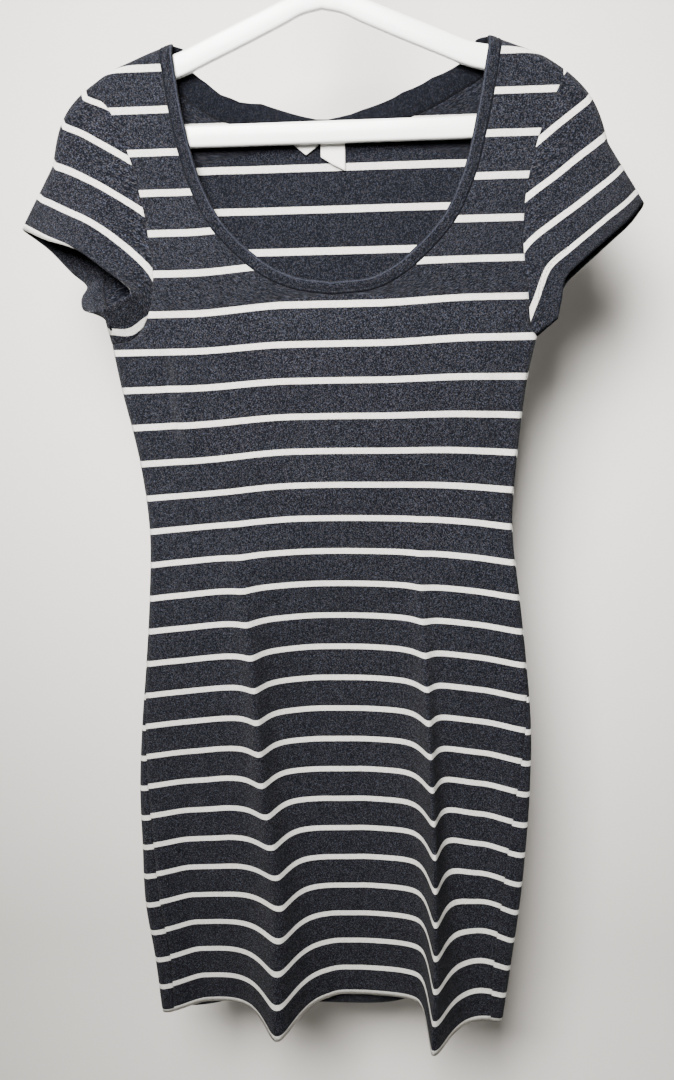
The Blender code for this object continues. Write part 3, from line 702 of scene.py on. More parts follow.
class Value:
    """A socket that holds a number, so that shader maths reads as an expression."""

    def __init__(self, tree, socket):
        self.tree, self.socket = tree, socket

    __add__ = __radd__ = operation("ADD")
    __mul__ = __rmul__ = operation("MULTIPLY")
    __sub__ = operation("SUBTRACT")
    __rsub__ = operation("SUBTRACT", swapped=True)
    __truediv__ = operation("DIVIDE")
    __abs__ = operation("ABSOLUTE")
    fract = operation("FRACT")
    floor = operation("FLOOR")
    sine = operation("SINE")
    power = operation("POWER")
    least = operation("MINIMUM")
    most = operation("MAXIMUM")
    above = operation("GREATER_THAN")

    def ramp(self, low, high):
        """0 below low and 1 above high, straight between."""
        return ((self - low) / (high - low)).most(0.0).least(1.0)


class Finish:
    """A material and its node tree."""

    def __init__(self, name, roughness, **constants):
        self.material = bpy.data.materials.new(name)
        self.material.use_nodes = True
        self.tree = self.material.node_tree
        self.shader = self.tree.nodes["Principled BSDF"]
        self.shader.inputs["Roughness"].default_value = roughness
        for socket, value in constants.items():
            self.shader.inputs[socket.replace("_", " ")].default_value = value

    def node(self, kind, settings=None, **inputs):
        return add_node(self.tree, kind, settings, **inputs)

    def number(self, socket):
        return Value(self.tree, socket)

    def cloth_place(self):
        """The piece's cloth coordinates, whole and then as the numbers across and up."""
        uv = self.node("ShaderNodeUVMap", {"uv_map": "cloth"}).outputs[0]
        parts = self.node("ShaderNodeSeparateXYZ", Vector=uv)
        return uv, self.number(parts.outputs[0]), self.number(parts.outputs[1])

    def object_place(self):
        return self.node("ShaderNodeTexCoord").outputs["Object"]

    def stretched(self, place, scale):
        return self.node("ShaderNodeMapping", Vector=place, Scale=scale).outputs[0]

    def noise(self, vector, scale, detail=2.0, roughness=0.5):
        node = self.node("ShaderNodeTexNoise", Vector=vector, Scale=scale, Detail=detail, Roughness=roughness)
        return self.number(node.outputs[0])

    def mix(self, share, first, second):
        """Colour mix: first at share 0 and second at share 1."""
        node = self.node("ShaderNodeMix", {"data_type": "RGBA"})
        for index, item in ((0, share), (6, first), (7, second)):
            fill(self.tree, node.inputs[index], (*item, 1.0) if isinstance(item, tuple) else item)
        return node.outputs[2]

    def feed(self, socket, value):
        fill(self.tree, self.shader.inputs[socket], value)

    def bump(self, height, distance, strength=1.0):
        self.feed("Normal", self.node("ShaderNodeBump", Height=height, Distance=distance,
                                      Strength=strength).outputs[0])


def scaled(colour, amount):
    """Darker or lighter colour."""
    return tuple(part * amount for part in colour)


def knit(finish, across, up, cloth):
    """Height of knitted loops, columns of small V shapes, and a random number for each loop."""
    wales = across / cloth.wale
    wale = wales.fract() - 0.5
    courses = up / cloth.course + abs(wale) * LOOP_SLANT
    leg = 1.0 - (abs(courses.fract() - 0.5) * 2.0).power(2.0)
    edge = 1.0 - (abs(wale) * 2.0).power(4.0)
    place = finish.node("ShaderNodeCombineXYZ", X=wales.floor(), Y=courses.floor()).outputs[0]
    chance = finish.node("ShaderNodeTexWhiteNoise", {"noise_dimensions": "2D"}, Vector=place)
    return leg * edge, finish.number(chance.outputs["Value"])


def band_colour(finish, up, ground, cloth):
    """Binding: painted shade along its seam and over its edge and turned-under half, with a painted highlight
    line where it folds.
    """
    # painted shade along the seam, strongest right at it
    seam = 1.0 - up.ramp(*BAND_SEAM_SHADE)
    # painted highlight: a pale line along the band's fold
    fold = up.ramp(*BAND_FOLD_HIGHLIGHT[0]) * (1.0 - up.ramp(*BAND_FOLD_HIGHLIGHT[1]))
    # 0.25 darkens the whole band a little; on top of that, painted shade by the seam and over the edge and
    # turned-under half
    colour = finish.mix(0.25 + seam * 0.6 + up.ramp(*BAND_EDGE_SHADE) * 0.5, ground, tuple(cloth.navy))
    return finish.mix(fold * 0.26, colour, tuple(cloth.heather))


def stripe_mask(up, jag, cloth):
    """1 in the off-white stripes; the first of them lies along the hem."""
    count = (up + (jag - 0.5) * STRIPE_JAG) / (PITCH * MM)
    near = abs((count + 0.5).fract() - 0.5)
    line = 1.0 - near.ramp(cloth.stripe / 2 - STRIPE_FADE, cloth.stripe / 2 + STRIPE_FADE)
    hem = count.ramp(*HEM_STRIPE_LOW) * (1.0 - count.ramp(*(cloth.stripe + end for end in HEM_STRIPE_HIGH)))
    return (line * abs(count).above(0.5)).most(hem)


def jersey(name, cloth, striped, reverse=False):
    """Heathered navy jersey, with off-white stripes where asked; its reverse is duller."""
    finish = Finish(name, 0.85, Sheen_Weight=cloth.sheen, Sheen_Roughness=0.5, Specular_IOR_Level=0.03)
    uv, across, up = finish.cloth_place()
    loops, chance = knit(finish, across, up, cloth)
    fine, middle, broad, tint, jag, pill = [finish.noise(uv, *sizes) for sizes in JERSEY_NOISES.values()]
    navy, shade = tuple(cloth.navy), tuple(cloth.shade)
    fleck = finish.mix(tint.ramp(0.42, 0.58), tuple(cloth.warm), tuple(cloth.heather))
    heather = (chance.power(FLECK_POWER) + (fine - 0.5) * FLECK_GRAIN) * (REVERSE_FLECK if reverse else 1.0)
    ground = finish.mix(heather.most(0.0), navy, fleck)
    ground = finish.mix(broad.ramp(0.3, 0.7), ground, finish.mix(0.2, ground, navy))
    ground = finish.mix((1.0 - loops) * 0.25, ground, LOOP_SHADE)
    if striped:
        mask = stripe_mask(up, jag, cloth)
        white = finish.mix((fine * 0.6 + middle * 0.4).ramp(0.3, 0.62), shade, tuple(cloth.white))
        white = finish.mix((1.0 - loops) * (0.5 if reverse else 0.22), white, shade)
        finish.feed("Base Color", finish.mix(mask, ground, white))
        finish.feed("Roughness", 0.8 + mask * 0.08)
    else:
        finish.feed("Base Color", band_colour(finish, up, ground, cloth))
    finish.bump(loops * 0.7 + pill * 0.5 + broad * 0.4, cloth.relief)
    return finish.material


def thread(name, colour):
    """Twisted sewing thread."""
    finish = Finish(name, 0.85, Specular_IOR_Level=0.15)
    grain = finish.noise(finish.object_place(), 1600.0)
    finish.feed("Base Color", finish.mix(grain.ramp(0.35, 0.65), scaled(colour, 0.6), colour))
    finish.bump(grain, 0.0001)
    return finish.material


def tape():
    """Plain woven label tape."""
    finish = Finish("label_tape", 0.7, Sheen_Weight=0.1)
    uv, across, up = finish.cloth_place()
    warp = (across * (2 * math.pi / 0.0005)).sine() * 0.5 + 0.5
    weft = (up * (2 * math.pi / 0.0007)).sine() * 0.5 + 0.5
    weave = warp * 0.5 + weft * 0.5
    # darker between the threads: painted shade in the weave's hollows; the same weave also drives the bump
    colour = finish.mix(weave, (0.6, 0.59, 0.56), (0.84, 0.83, 0.8))
    cloudy = finish.noise(uv, 90.0, 3.0).ramp(0.4, 0.75)
    finish.feed("Base Color", finish.mix(cloudy * 0.35, colour, (0.66, 0.64, 0.6)))
    finish.bump(weave, 0.00008)
    return finish.material


def plastic(settings):
    """Glossy moulded plastic with faint flow marks, dust and scuffs."""
    finish = Finish("hanger_plastic", settings.roughness, Coat_Weight=0.25, Coat_Roughness=0.12, IOR=1.49)
    place = finish.object_place()
    flow = finish.noise(finish.stretched(place, (6.0, 30.0, 30.0)), 3.0, 3.0)
    specks = finish.noise(place, 420.0, 2.0, 0.7)
    scuffs = finish.noise(finish.stretched(place, (40.0, 300.0, 260.0)), 2.0, 4.0, 0.7)
    base = tuple(settings.colour)
    colour = finish.mix(flow.ramp(0.35, 0.7) * 0.35, base, scaled(base, 0.93))
    finish.feed("Base Color", finish.mix(specks.ramp(0.68, 0.74) * 0.3, colour, (0.55, 0.53, 0.5)))
    finish.feed("Roughness", flow * 0.08 + scuffs.ramp(0.5, 0.75) * 0.2 + settings.roughness - 0.04)
    finish.bump(scuffs * 0.3 + flow, 0.00025, 0.6)
    return finish.material


def paper_material(colour):
    """Stage paper with faint mottling, clear from behind so that the back can be looked at too."""
    finish = Finish("backdrop_paper", 0.9)
    mottle = finish.noise(finish.object_place(), 9.0, 3.0)
    finish.feed("Base Color", finish.mix(mottle * 0.06, colour, scaled(colour, 0.8)))
    finish.feed("Alpha", 1.0 - finish.number(finish.node("ShaderNodeNewGeometry").outputs["Backfacing"]))
    return finish.material


def cloth_material(kind):
    """The jersey finishes are made once and shared."""
    existing = bpy.data.materials.get(kind)
    if existing and existing.get("dress"):
        return existing
    material = jersey(kind, scene().dress_cloth, kind != "plain_cloth", kind == "striped_reverse")
    material["dress"] = True
    return material


def amount_of(name, description, default, **limits):
    return bpy.props.FloatProperty(name=name, description=description, default=default, **limits)


def length_of(name, description, default):
    return amount_of(name, description, default, precision=5, unit="LENGTH")


def colour_of(name, description, default):
    return bpy.props.FloatVectorProperty(name=name, description=description, default=default,
                                         subtype="COLOR", min=0, max=1)


class ClothSettings(bpy.types.PropertyGroup):
    thickness: length_of("Cloth thickness", "Thickness of the jersey", 0.0009)
    stripe: amount_of("Stripe share", "Share of the repeat that is off-white", 0.168, min=0.05, max=0.6)
    navy: colour_of("Navy", "Darkest yarn", (0.0018, 0.0023, 0.0042))
    heather: colour_of("Heather", "Palest fleck", (0.059, 0.066, 0.093))
    warm: colour_of("Warm fleck", "Brown fleck", (0.055, 0.05, 0.053))
    white: colour_of("Off-white", "Stripe yarn", (0.78, 0.77, 0.73))
    shade: colour_of("Off-white shade", "Between the stripe's loops", (0.5, 0.49, 0.46))
    wale: length_of("Wale", "Width of one column of loops", 0.0006)
    course: length_of("Course", "Height of one row of loops", 0.00052)
    relief: length_of("Relief", "Depth of the knit", 0.00022)
    sheen: amount_of("Sheen", "Soft bloom at glancing angles", 0.03, min=0, max=1)


class StitchSettings(bpy.types.PropertyGroup):
    length: length_of("Stitch length", "Length of one stitch", 0.0026)
    gap: length_of("Gap", "Cloth between two stitches", 0.0006)
    width: length_of("Thread width", "Thickness of the thread", 0.0005)
    dark: colour_of("Dark thread", "Thread of the seams", (0.0025, 0.003, 0.0055))


class HangerSettings(bpy.types.PropertyGroup):
    thickness: length_of("Thickness", "Depth of the moulding", 0.008)
    edge: length_of("Edge", "Radius along the moulding's edges", 0.0028)
    colour: colour_of("Colour", "Plastic", (0.88, 0.88, 0.87))
    roughness: amount_of("Roughness", "Gloss of the plastic", 0.28, min=0, max=1)


class StageSettings(bpy.types.PropertyGroup):
    backdrop: colour_of("Backdrop", "Paper behind and below", (0.66, 0.64, 0.61))
    key_power: amount_of("Key light", "Large light above the camera", 24.0, min=0)
    fill_power: amount_of("Fill light", "Soft light from the right", 0.9, min=0)
    rear_power: amount_of("Rear light", "Lights the back through the paper", 12.0, min=0)
    room: amount_of("Room light", "Even light all round", 0.025, min=0)


def hung(thing, node):
    """Hides the frame part that a finished cloth piece stands for, and hangs the piece from the root."""
    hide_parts(node)
    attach(thing, "root")


def make_striped(name, grids, cyclic=False):
    """Striped cloth piece: meshed, given its thickness, put in place of its frame part and hung from the
    root.
    """
    thing = add_object(name, merged(grid_mesh(name, grids, cyclic)), cloth_material("striped_cloth"))
    thicken(thing, scene().dress_cloth.thickness, cloth_material("striped_reverse"))
    node, flat, area = CUTS[name]
    hung(baked(thing), node)


def surface_path(points, normals, depth, lift):
    """Line across a panel at a depth up from the hem, lifted off the surface."""
    row = depth / ROW_STEP
    base = min(int(row), len(points) - 2)
    return between(points[base], points[base + 1], row - base) + normals[base] * lift


def panel_halves(face):
    return {sign: PanelHalf(sign, face) for sign in (-1, 1)}


def panel_grids(halves):
    """Both halves with their hem turned up inside and their seam edges tucked in."""
    grids = []
    for sign, half in halves.items():
        points, normals, v = half.points, half.normals(), half.stripes * PITCH
        run = np.stack([lengths_of(row) for row in points]) * sign
        tucked = turned_edge(points, normals)
        points = np.concatenate([points] + [edge[:, None] for edge in tucked], axis=1)
        normals = np.concatenate([normals] + [normals[:, -1:]] * len(tucked), axis=1)
        run = np.concatenate([run] + [run[:, -1:] + sign * (step + 1) for step in range(len(tucked))], axis=1)
        v = np.concatenate([v] + [v[:, -1:]] * len(tucked), axis=1)
        inside = [surface_path(points, normals, depth, -gap) for depth, gap in HEM_TURNS]
        turned_v = [np.full(points.shape[1], -depth - TURN_TAKE) for depth, _ in HEM_TURNS]
        run = np.concatenate([np.repeat(run[:1], len(inside), axis=0), run])
        grids.append((np.concatenate([inside, points]), run, np.concatenate([turned_v, v])))
    return grids


class DRESS_OT_front(bpy.types.Operator):
    """Front of the dress, with its two deep skirt folds"""
    bl_idname = "dress.front"
    bl_label = "Front panel"

    def execute(self, context):
        make_striped("front_cloth", panel_grids(panel_halves("front")))
        return {"FINISHED"}


class DRESS_OT_back(bpy.types.Operator):
    """Back of the dress, which wraps forward round both sides"""
    bl_idname = "dress.back"
    bl_label = "Back panel"

    def execute(self, context):
        make_striped("back_cloth", panel_grids(panel_halves("back")))
        return {"FINISHED"}


def armhole_ring(sign):
    """The armhole from the shoulder down the front and up the back."""
    front, back = PanelHalf(sign, "front"), PanelHalf(sign, "back")
    down = front.points[front.lower - 1:, -1][::-1]
    up = back.points[back.lower - 1:, -1]
    top = (down[0] + up[-1]) / 2
    low = (down[-1] + up[0]) / 2
    return np.concatenate([[top], down[1:-1], [low], up[1:-1]]), len(down) - 1


def sleeve_starts(ring, low, sign):
    """Ring just off the armhole, clear of the panels by the seam's gap."""
    count = len(ring)
    run = np.roll(ring, -1, axis=0) - np.roll(ring, 1, axis=0)
    run[:low] *= -1
    out = np.stack([-run[:, 2], np.zeros(count), run[:, 0]], 1) * -sign
    out[np.linalg.norm(out, axis=1) < 0.6] = (sign, 0, 0)
    out[0] = (sign, 0, 0)
    out[low] = (sign * 0.7, 0, 1)
    return ring + evened(unit(out), SLEEVE_EVENING) * SLEEVE_SEAM


def sleeve_grid(sign):
    """Rows from the armhole to the mouth, with the cloth's place up from the cuff."""
    ring, low = armhole_ring(sign)
    near = sleeve_starts(ring, low, sign)
    down, up = lengths_of(ring[:low + 1]), lengths_of(np.concatenate([ring[low:], ring[:1]]))
    down, up = down / down[-1], up / up[-1]
    mouth = np.concatenate([along(SLEEVE_MOUTH[(sign, "front")], down),
                            along(SLEEVE_MOUTH[(sign, "back")], 1 - up[1:-1])])
    share = np.concatenate([down, 1 - up[1:-1]])
    top = blend(1 - share / SLEEVE_CROWN_REACH, 0.0, 1.0)
    lift = np.array([sign, 0.0, 1.0]) / math.sqrt(2)
    stripes, rim, back_rim, near_rim = (column(SLEEVE_STRIPES[sign], SLEEVE_STRIPE_COLUMNS, name, share)
                                        for name in SLEEVE_STRIPE_COLUMNS[1:])
    rim = np.where(np.arange(len(ring)) <= low, rim, back_rim)
    points, v = [], []
    for station in SLEEVE_ROWS:
        swell = SLEEVE_CROWN[sign] * math.sin(math.pi * min(1.0, station / SLEEVE_CROWN_END))
        points.append(near + (mouth - near) * station + lift * (swell * top)[:, None])
        v.append(((1 - station) * stripes + station * rim + station ** RIM_POWER * near_rim) * PITCH)
    points = np.array(points)
    front_side = (np.arange(len(ring)) < low)[None, :, None]
    dented, bulged = (creased(points, SLEEVE_CREASES[sign], outward) for outward in (-1.0, 1.0))
    fade = np.sin(np.pi * share)[None, :, None]
    return points + (np.where(front_side, dented, bulged) - points) * fade, np.array(v)


def ring_normals(points):
    """Unit normals out of a tube of rings."""
    across = np.roll(points, -1, axis=1) - np.roll(points, 1, axis=1)
    normal = unit(np.cross(across, np.gradient(points, axis=0)))
    facing = np.sum(normal * (points - points.mean(axis=1, keepdims=True)), axis=-1).mean()
    return normal if facing > 0 else -normal


def cuff_ring(points, normals, depth, lift):
    """Ring of a sleeve at a depth up from its mouth, lifted off the surface."""
    length = np.linalg.norm(points[0] - points[-1], axis=1)
    station = np.clip(1 - depth / np.maximum(length, SHORTEST_SLEEVE), 0.0, 1.0) * (len(points) - 1)
    base = np.minimum(station.astype(int), len(points) - 2)
    pick = np.arange(points.shape[1])
    row = between(points[base, pick], points[base + 1, pick], (station - base)[:, None])
    return row + normals[base, pick] * lift


def make_sleeve(name, sign):
    """One sleeve, tucked in at the armhole and turned up inside the cuff."""
    points, v = sleeve_grid(sign)
    normals = ring_normals(points)
    count = points.shape[1]
    to_body = unit(points[0] - points[1])
    rows = [points[0] + to_body * on - normals[0] * down * SLEEVE_TURN for on, down in SEAM_TURN[::-1]]
    rows += [*points, points[-1]]
    rows += [cuff_ring(points, normals, depth, -gap) for depth, gap in CUFF_TURNS]
    vs = [v[0]] * len(SEAM_TURN) + [*v, np.full(count, CUFF_RIM)]
    vs += [np.full(count, -depth - TURN_TAKE) for depth, _ in CUFF_TURNS]
    u = np.stack([lengths_of(closed(row))[:-1] for row in rows])
    u = u / np.maximum(u.max(axis=1, keepdims=True), 1.0) * SLEEVE_GIRTH
    make_striped(name, [(np.array(rows), u, np.array(vs))], cyclic=True)


class DRESS_OT_sleeves(bpy.types.Operator):
    """Both short sleeves, with turned cuffs"""
    bl_idname = "dress.sleeves"
    bl_label = "Sleeves"

    def execute(self, context):
        make_sleeve("left_sleeve_cloth", -1)
        make_sleeve("right_sleeve_cloth", 1)
        return {"FINISHED"}


def neck_loop():
    """Points along the neck edge all round, with the way across each panel from it."""
    loop, across = [], []
    order = ((-1, "front", True), (1, "front", False), (1, "back", True), (-1, "back", False))
    for sign, face, downwards in order:
        half = PanelHalf(sign, face)
        rows = half.points[half.neck_start():]
        edge, away = rows[:, 0], rows[:, 2] - rows[:, 0]
        if downwards:
            edge, away = edge[::-1][:-1], away[::-1][:-1]
        loop.append(edge)
        across.append(away)
    return np.concatenate(loop), np.concatenate(across)


def tidy_loop(points, across):
    """Drops points that repeat, so that every step of the loop has a length."""
    keep = [0]
    for index in range(1, len(points)):
        if np.linalg.norm(points[index] - points[keep[-1]]) > BAND_STEP:
            keep.append(index)
    if np.linalg.norm(points[keep[-1]] - points[0]) < BAND_STEP:
        keep.pop()
    return points[keep], across[keep]


def band_frame():
    """Neck edge points, directions across the band and out of its face, widths, sway and lengths."""
    points, across = tidy_loop(*neck_loop())
    run = unit(np.roll(points, -1, axis=0) - np.roll(points, 1, axis=0))
    across[np.abs(points[:, 0] - MID_X) < 1.0] = (0.0, 0.0, -1.0)
    away = -(across - run * np.sum(across * run, axis=1, keepdims=True))
    away[:, 1] = 0.0
    away = evened(unit(away), BAND_SMOOTHING)
    face = unit(np.cross(run, away))
    lengths = lengths_of(closed(points))
    behind = blend(points[:, 1], *BAND_BEHIND)
    sway = sum(size * np.sin(2 * np.pi * lengths[:-1] / wave + phase) for wave, size, phase in BAND_WAVES)
    sway = sway * (BAND_FRONT_SWAY + (1 - BAND_FRONT_SWAY) * behind)
    wide = 1 + BAND_SPREAD * behind * blend(np.abs(points[:, 0] - MID_X), 0.0, BAND_SPREAD_REACH)
    return points, away, face, wide * (1 + BAND_SWAY_WIDTH * sway), sway, lengths


def on_band(shape, inwards, up):
    """Points round the neck at one place of the band's cross-section."""
    points, away, face, wide, sway, _ = shape
    lean = sway * inwards / BAND_WIDTH
    return points + away * (inwards * wide + BAND_GAP)[:, None] + face * (up + lean)[:, None]


class DRESS_OT_binding(bpy.types.Operator):
    """Folded band round the neck"""
    bl_idname = "dress.binding"
    bl_label = "Neck binding"

    def execute(self, context):
        shape = band_frame()
        lengths = shape[-1]
        grid, u, v = [], [], []
        for inwards, up in BAND_PROFILE + BAND_PROFILE[:1]:
            grid.append(on_band(shape, inwards, up))
            u.append(lengths[:-1])
            v.append(np.full(len(grid[-1]), inwards + (0 if up > 0 else BAND_BACK_CLOTH)))
        mesh = merged(grid_mesh("neck_band", [(np.array(grid), np.array(u), np.array(v))], cyclic=True))
        band = add_object("neck_band", mesh, cloth_material("plain_cloth"))
        hung(band, "neck_binding")
        return {"FINISHED"}


def tag_mesh(name, outline, bend):
    """Tag: one thin strip whose lower end is pointed or slanting, on a slight curl."""
    corners = np.array(outline, float)
    left, right = corners[:, 0].min(), corners[:, 0].max()
    top, bottom = corners[:, 1].max(), corners[1:-1]
    columns = np.linspace(left, right, TAG_STEPS)
    low = np.interp(columns, bottom[:, 0], bottom[:, 1])
    rows = []
    for level in np.linspace(0, 1, TAG_STEPS):
        curl = bend * level ** 2 + TAG_CUP * np.sin(np.pi * (columns - left) / (right - left))
        rows.append(np.stack([columns, LABEL_DEPTH - curl, top + (low - top) * level], 1))
    points = np.array(rows)
    return grid_mesh(name, [(points, points[..., 0], points[..., 2])])


class DRESS_OT_labels(bpy.types.Operator):
    """Two plain tags inside the back neck"""
    bl_idname = "dress.labels"
    bl_label = "Neck tags"

    def execute(self, context):
        material = tape()
        for name, (node, bend) in TAGS.items():
            outline = np.array(LABEL_OUTLINES[name])
            thing = add_object(name, merged(tag_mesh(name, outline, bend)), material)
            thicken(thing, TAG_THICKNESS)
            baked(thing)
            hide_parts(node)
            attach(thing, "root")
        return {"FINISHED"}


def stitch_tree():
    """Geometry Nodes tree that lays stitches along a path."""
    tree = bpy.data.node_groups.new("Stitch row", "GeometryNodeTree")
    for name, kind in {"Geometry": "Geometry", "Stitch length": "Float", "Gap": "Float",
                       "Thread width": "Float", "Seed": "Int", "Thread": "Material"}.items():
        tree.interface.new_socket(name, in_out="INPUT", socket_type="NodeSocket" + kind)
    tree.interface.new_socket("Geometry", in_out="OUTPUT", socket_type="NodeSocketGeometry")

    def add(kind, settings=None, **inputs):
        return add_node(tree, kind, settings, **inputs).outputs

    source = add("NodeGroupInput")
    length, width = Value(tree, source["Stitch length"]), source["Thread width"]
    curve = add("GeometryNodeMeshToCurve", Mesh=source["Geometry"])[0]
    spaced = add("GeometryNodeResampleCurve", {"mode": "LENGTH"}, Curve=curve,
                 Length=length + Value(tree, source["Gap"]))[0]
    bead = add("GeometryNodeMeshUVSphere", Segments=6, Rings=4, Radius=0.5)[0]
    vary = Value(tree, add("FunctionNodeRandomValue", Min=0.88, Max=1.0, Seed=source["Seed"])[1])
    size = add("ShaderNodeCombineXYZ", X=length * vary, Y=width, Z=width)[0]
    tangent = add("GeometryNodeInputTangent")[0]
    aim = add("FunctionNodeAlignRotationToVector", {"axis": "X"}, Vector=tangent)[0]
    beads = add("GeometryNodeInstanceOnPoints", Points=spaced, Instance=bead, Rotation=aim, Scale=size)[0]
    real = add("GeometryNodeRealizeInstances", Geometry=beads)[0]
    smooth = add("GeometryNodeSetShadeSmooth", Geometry=real)[0]
    dyed = add("GeometryNodeSetMaterial", Geometry=smooth, Material=source["Thread"])[0]
    tree.links.new(dyed, tree.nodes.new("NodeGroupOutput").inputs[0])
    return tree


def stitch_row(name, tree, paths, material, seed, width_factor=1.0):
    """Stitches along paths in millimetres, as one plain mesh."""
    mesh = bpy.data.meshes.new(name)
    verts, edges = [], []
    for path in paths:
        base = len(verts)
        verts.extend((np.asarray(path) * MM).tolist())
        edges.extend((base + step, base + step + 1) for step in range(len(path) - 1))
    mesh.from_pydata(verts, edges, [])
    thing = linked(name, mesh)
    settings = scene().dress_stitch
    nodes = thing.modifiers.new("stitches", "NODES")
    nodes.node_group = tree
    values = {"Stitch length": settings.length, "Gap": settings.gap,
              "Thread width": settings.width * width_factor, "Seed": seed, "Thread": material}
    for socket in tree.interface.items_tree:
        if socket.in_out == "INPUT" and socket.name in values:
            nodes[socket.identifier] = values[socket.name]
    baked(thing)
    thing.data.materials.clear()
    thing.data.materials.append(material)
    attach(thing, "root")


class DRESS_OT_stitching(bpy.types.Operator):
    """Rows of stitches along the hem, cuffs and neck"""
    bl_idname = "dress.stitching"
    bl_label = "Stitching"

    def execute(self, context):
        tree = stitch_tree()
        cotton = thread("sewing_thread", tuple(scene().dress_stitch.dark))
        lift = scene().dress_cloth.thickness / MM / 2 + STITCH_LIFT
        hems = []
        for face in ("front", "back"):
            for half in panel_halves(face).values():
                hems += [surface_path(half.points, half.normals(), depth, lift) for depth in HEM_ROWS]
        stitch_row("hem_stitches", tree, hems, cotton, SEEDS["hem"])
        for sign, name in ((-1, "left_cuff_stitches"), (1, "right_cuff_stitches")):
            points, _ = sleeve_grid(sign)
            normals = ring_normals(points)
            rings = [closed(cuff_ring(points, normals, depth, lift)) for depth in CUFF_ROWS]
            stitch_row(name, tree, rings, cotton, SEEDS["cuff"], CUFF_THREAD)
        shape = band_frame()
        for name, up in NECK_ROWS.items():
            stitch_row(name, tree, [closed(on_band(shape, BAND_STITCH, up))], cotton, SEEDS["neck"])
        return {"FINISHED"}


def rounded_bar(outer, inner, half_depth, edge):
    """Closed ring of cross-sections between two outlines, with rounded edges and a slight crown."""
    corner = [(1 - math.cos(turn), math.sin(turn)) for turn in np.linspace(0, math.pi / 2, EDGE_STEPS)]
    sections = []
    for low, high in zip(inner, outer):
        wide = np.linalg.norm(high - low)
        across = (high - low) / wide
        radius = min(edge, wide * WIDEST_EDGE[0], half_depth * WIDEST_EDGE[1])
        near = [(radius * back, -(half_depth - radius) - radius * up) for back, up in corner]
        crown = [(radius + (wide - 2 * radius) * share, -half_depth - CROWN * math.sin(math.pi * share))
                 for share in CROWN_SHARES]
        front = near + crown + [(wide - out, depth) for out, depth in reversed(near)]
        shape = front + [(out, -depth) for out, depth in reversed(front)]
        flats = [low + across * out for out, _ in shape]
        sections.append([(flat[0], depth, flat[1]) for flat, (_, depth) in zip(flats, shape)])
    return np.array(sections)


def hanger_ring(half_depth, edge):
    """Arms, tips and bar, all the way round."""
    arm, tip = np.linspace(0, 1, ARM_STEPS), np.linspace(0, 1, TIP_STEPS)
    halves = {"outer": [along(ARM_TOP, arm), along([ARM_TOP[-1]] + TIP, tip)[1:]],
              "inner": [along(HOLE[:9], arm), along(HOLE[8:], tip)[1:]]}
    outlines = {}
    for name, start, level in (("outer", TIP[-1][0], BAR_LOW), ("inner", HOLE[-1][0], BAR_HIGH)):
        bar = np.linspace(start, 0, BAR_STEPS)[1:]
        right = np.concatenate(halves[name] + [np.stack([bar, np.full(len(bar), level)], 1)])
        outlines[name] = np.concatenate([right, (right * (-1.0, 1.0))[::-1][1:-1]])
    return closed(rounded_bar(outlines["outer"], outlines["inner"], half_depth, edge))


def squared(part):
    """Sine or cosine of a turn round the hook's section, pushed out towards a square."""
    return math.copysign(abs(part) ** HOOK_SQUARE, part)


def hook_sections(half_depth):
    """Stem and bend, wide where they leave the arms and rounded off at the tip."""
    radius = HOOK_INNER + HOOK_WIDTH / 2
    bend = [(radius * math.cos(angle), radius * math.sin(angle) - HOOK_INNER)
            for angle in np.radians(np.linspace(HOOK_START, HOOK_END, BEND_STEPS))]
    line = along(HOOK_STEM + bend, np.linspace(0, 1, HOOK_STEPS), HOOK_FINE)
    lengths = lengths_of(line)
    hook = []
    for point, run, length in zip(line, unit(np.gradient(line, axis=0)), lengths):
        root = blend(1 - length / HOOK_ROOT_REACH, 0.0, 1.0)
        near_end = min((lengths[-1] - length) / HOOK_TIP, 1.0)
        end = max(math.sqrt(1 - (1 - near_end) ** 2), HOOK_POINT)
        section = []
        wide, deep = (HOOK_WIDTH / 2 + HOOK_ROOT / 2 * root) * end, half_depth * end
        for turn in np.linspace(0, 2 * math.pi, HOOK_SIDES, endpoint=False):
            flat = point + np.array([run[1], -run[0]]) * (wide * squared(math.cos(turn)))
            section.append((flat[0], deep * squared(math.sin(turn)), flat[1]))
        hook.append(section)
    first, last = (np.repeat(np.mean(hook[at], axis=0)[None], HOOK_SIDES, axis=0) for at in (0, -1))
    return np.array([first, *hook, last])


class DRESS_OT_hanger(bpy.types.Operator):
    """Moulded hanger: rounded arms, bar and hook in one piece"""
    bl_idname = "dress.hanger"
    bl_label = "Hanger"

    def execute(self, context):
        settings = context.scene.dress_hanger
        half_depth = settings.thickness / MM / 2
        grids = [unmapped(hanger_ring(half_depth, settings.edge / MM)), unmapped(hook_sections(half_depth))]
        mesh = merged(grid_mesh("hanger_moulding", grids, cyclic=True), HANGER_MERGE)
        thing = add_object("hanger_moulding", mesh, plastic(settings))
        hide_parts("hanger")
        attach(thing, "root")
        return {"FINISHED"}


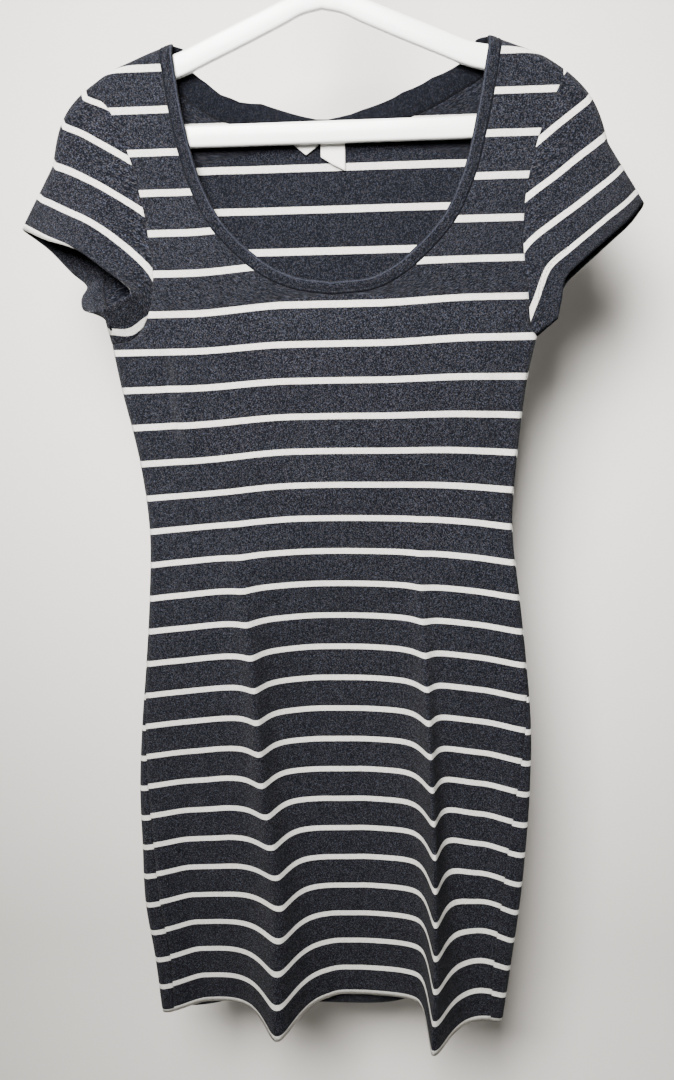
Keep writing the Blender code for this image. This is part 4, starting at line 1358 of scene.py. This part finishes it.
class DRESS_OT_stage(bpy.types.Operator):
    """Plain paper sweep, soft lights and the camera"""
    bl_idname = "dress.stage"
    bl_label = "Stage"

    def execute(self, context):
        settings = context.scene.dress_stage
        self.paper(tuple(settings.backdrop))
        world = bpy.data.worlds.new("room")
        context.scene.world = world
        world.use_nodes = True
        background = world.node_tree.nodes["Background"].inputs
        background["Color"].default_value = ROOM_COLOUR
        background["Strength"].default_value = settings.room
        for name, values in LIGHTS.items():
            self.light(name, getattr(settings, name + "_power"), *values)
        self.camera(context)
        return {"FINISHED"}

    def paper(self, colour):
        sweep = [(WALL - SWEEP_RADIUS * (1 - math.sin(turn)), FLOOR + SWEEP_RADIUS * (1 - math.cos(turn)))
                 for turn in np.radians(np.linspace(0, 90, 17))]
        profile = [(-PAPER_REACH, FLOOR)] + sweep + [(WALL, CEILING)]
        points = np.array([[(x, y, z) for x in (-PAPER_REACH, PAPER_REACH)] for y, z in profile]) / MM
        paper = add_object("backdrop", grid_mesh("backdrop", [unmapped(points)]), paper_material(colour))
        paper.visible_shadow = False

    def light(self, name, power, place, target, size, colour, spread):
        data = bpy.data.lights.new(name, "AREA")
        data.size, data.energy, data.color = size, power, colour
        data.spread = math.radians(spread)
        lamp = linked(name, data)
        lamp.location = place
        lamp.rotation_euler = (Vector(target) - Vector(place)).to_track_quat("-Z", "Y").to_euler()

    def camera(self, context):
        data = bpy.data.cameras.new("camera")
        data.sensor_fit = "VERTICAL"
        data.sensor_height = CAMERA_SENSOR
        data.lens = CAMERA_LENS
        data.clip_start = 0.01
        camera = linked("camera", data)
        turn = Matrix.Identity(4)
        for angle, axis in ((CAMERA_YAW, "Z"), (CAMERA_PITCH, "X"), (CAMERA_ROLL, "Y"), (90.0, "X")):
            turn = turn @ Matrix.Rotation(math.radians(angle), 4, axis)
        camera.matrix_world = Matrix.Translation(CAMERA_PLACE) @ turn
        context.scene.camera = camera


PIECES = (DRESS_OT_hanger, DRESS_OT_front, DRESS_OT_back, DRESS_OT_sleeves, DRESS_OT_binding,
          DRESS_OT_labels, DRESS_OT_stitching, DRESS_OT_stage)
SETTINGS = {"dress_cloth": ClothSettings, "dress_stitch": StitchSettings, "dress_hanger": HangerSettings,
            "dress_stage": StageSettings}


class DRESS_PT_sidebar(bpy.types.Panel):
    """Builds the dress piece by piece"""
    bl_idname = "DRESS_PT_sidebar"
    bl_label = "Striped dress"
    bl_space_type = "VIEW_3D"
    bl_region_type = "UI"
    bl_category = "Dress"

    def draw(self, context):
        for piece in PIECES:
            self.layout.operator(piece.bl_idname)
        for name, group in SETTINGS.items():
            box = self.layout.box()
            for prop in group.__annotations__:
                box.prop(getattr(context.scene, name), prop)


CLASSES = tuple(SETTINGS.values()) + PIECES + (DRESS_PT_sidebar,)


def register():
    for item in CLASSES:
        bpy.utils.register_class(item)
    for name, group in SETTINGS.items():
        setattr(bpy.types.Scene, name, bpy.props.PointerProperty(type=group))


def unregister():
    for name in SETTINGS:
        delattr(bpy.types.Scene, name)
    for item in reversed(CLASSES):
        bpy.utils.unregister_class(item)


def main():
    register()
    for piece in PIECES:
        group, call = piece.bl_idname.split(".")
        getattr(getattr(bpy.ops, group), call)()


if __name__ == "__main__":
    main()
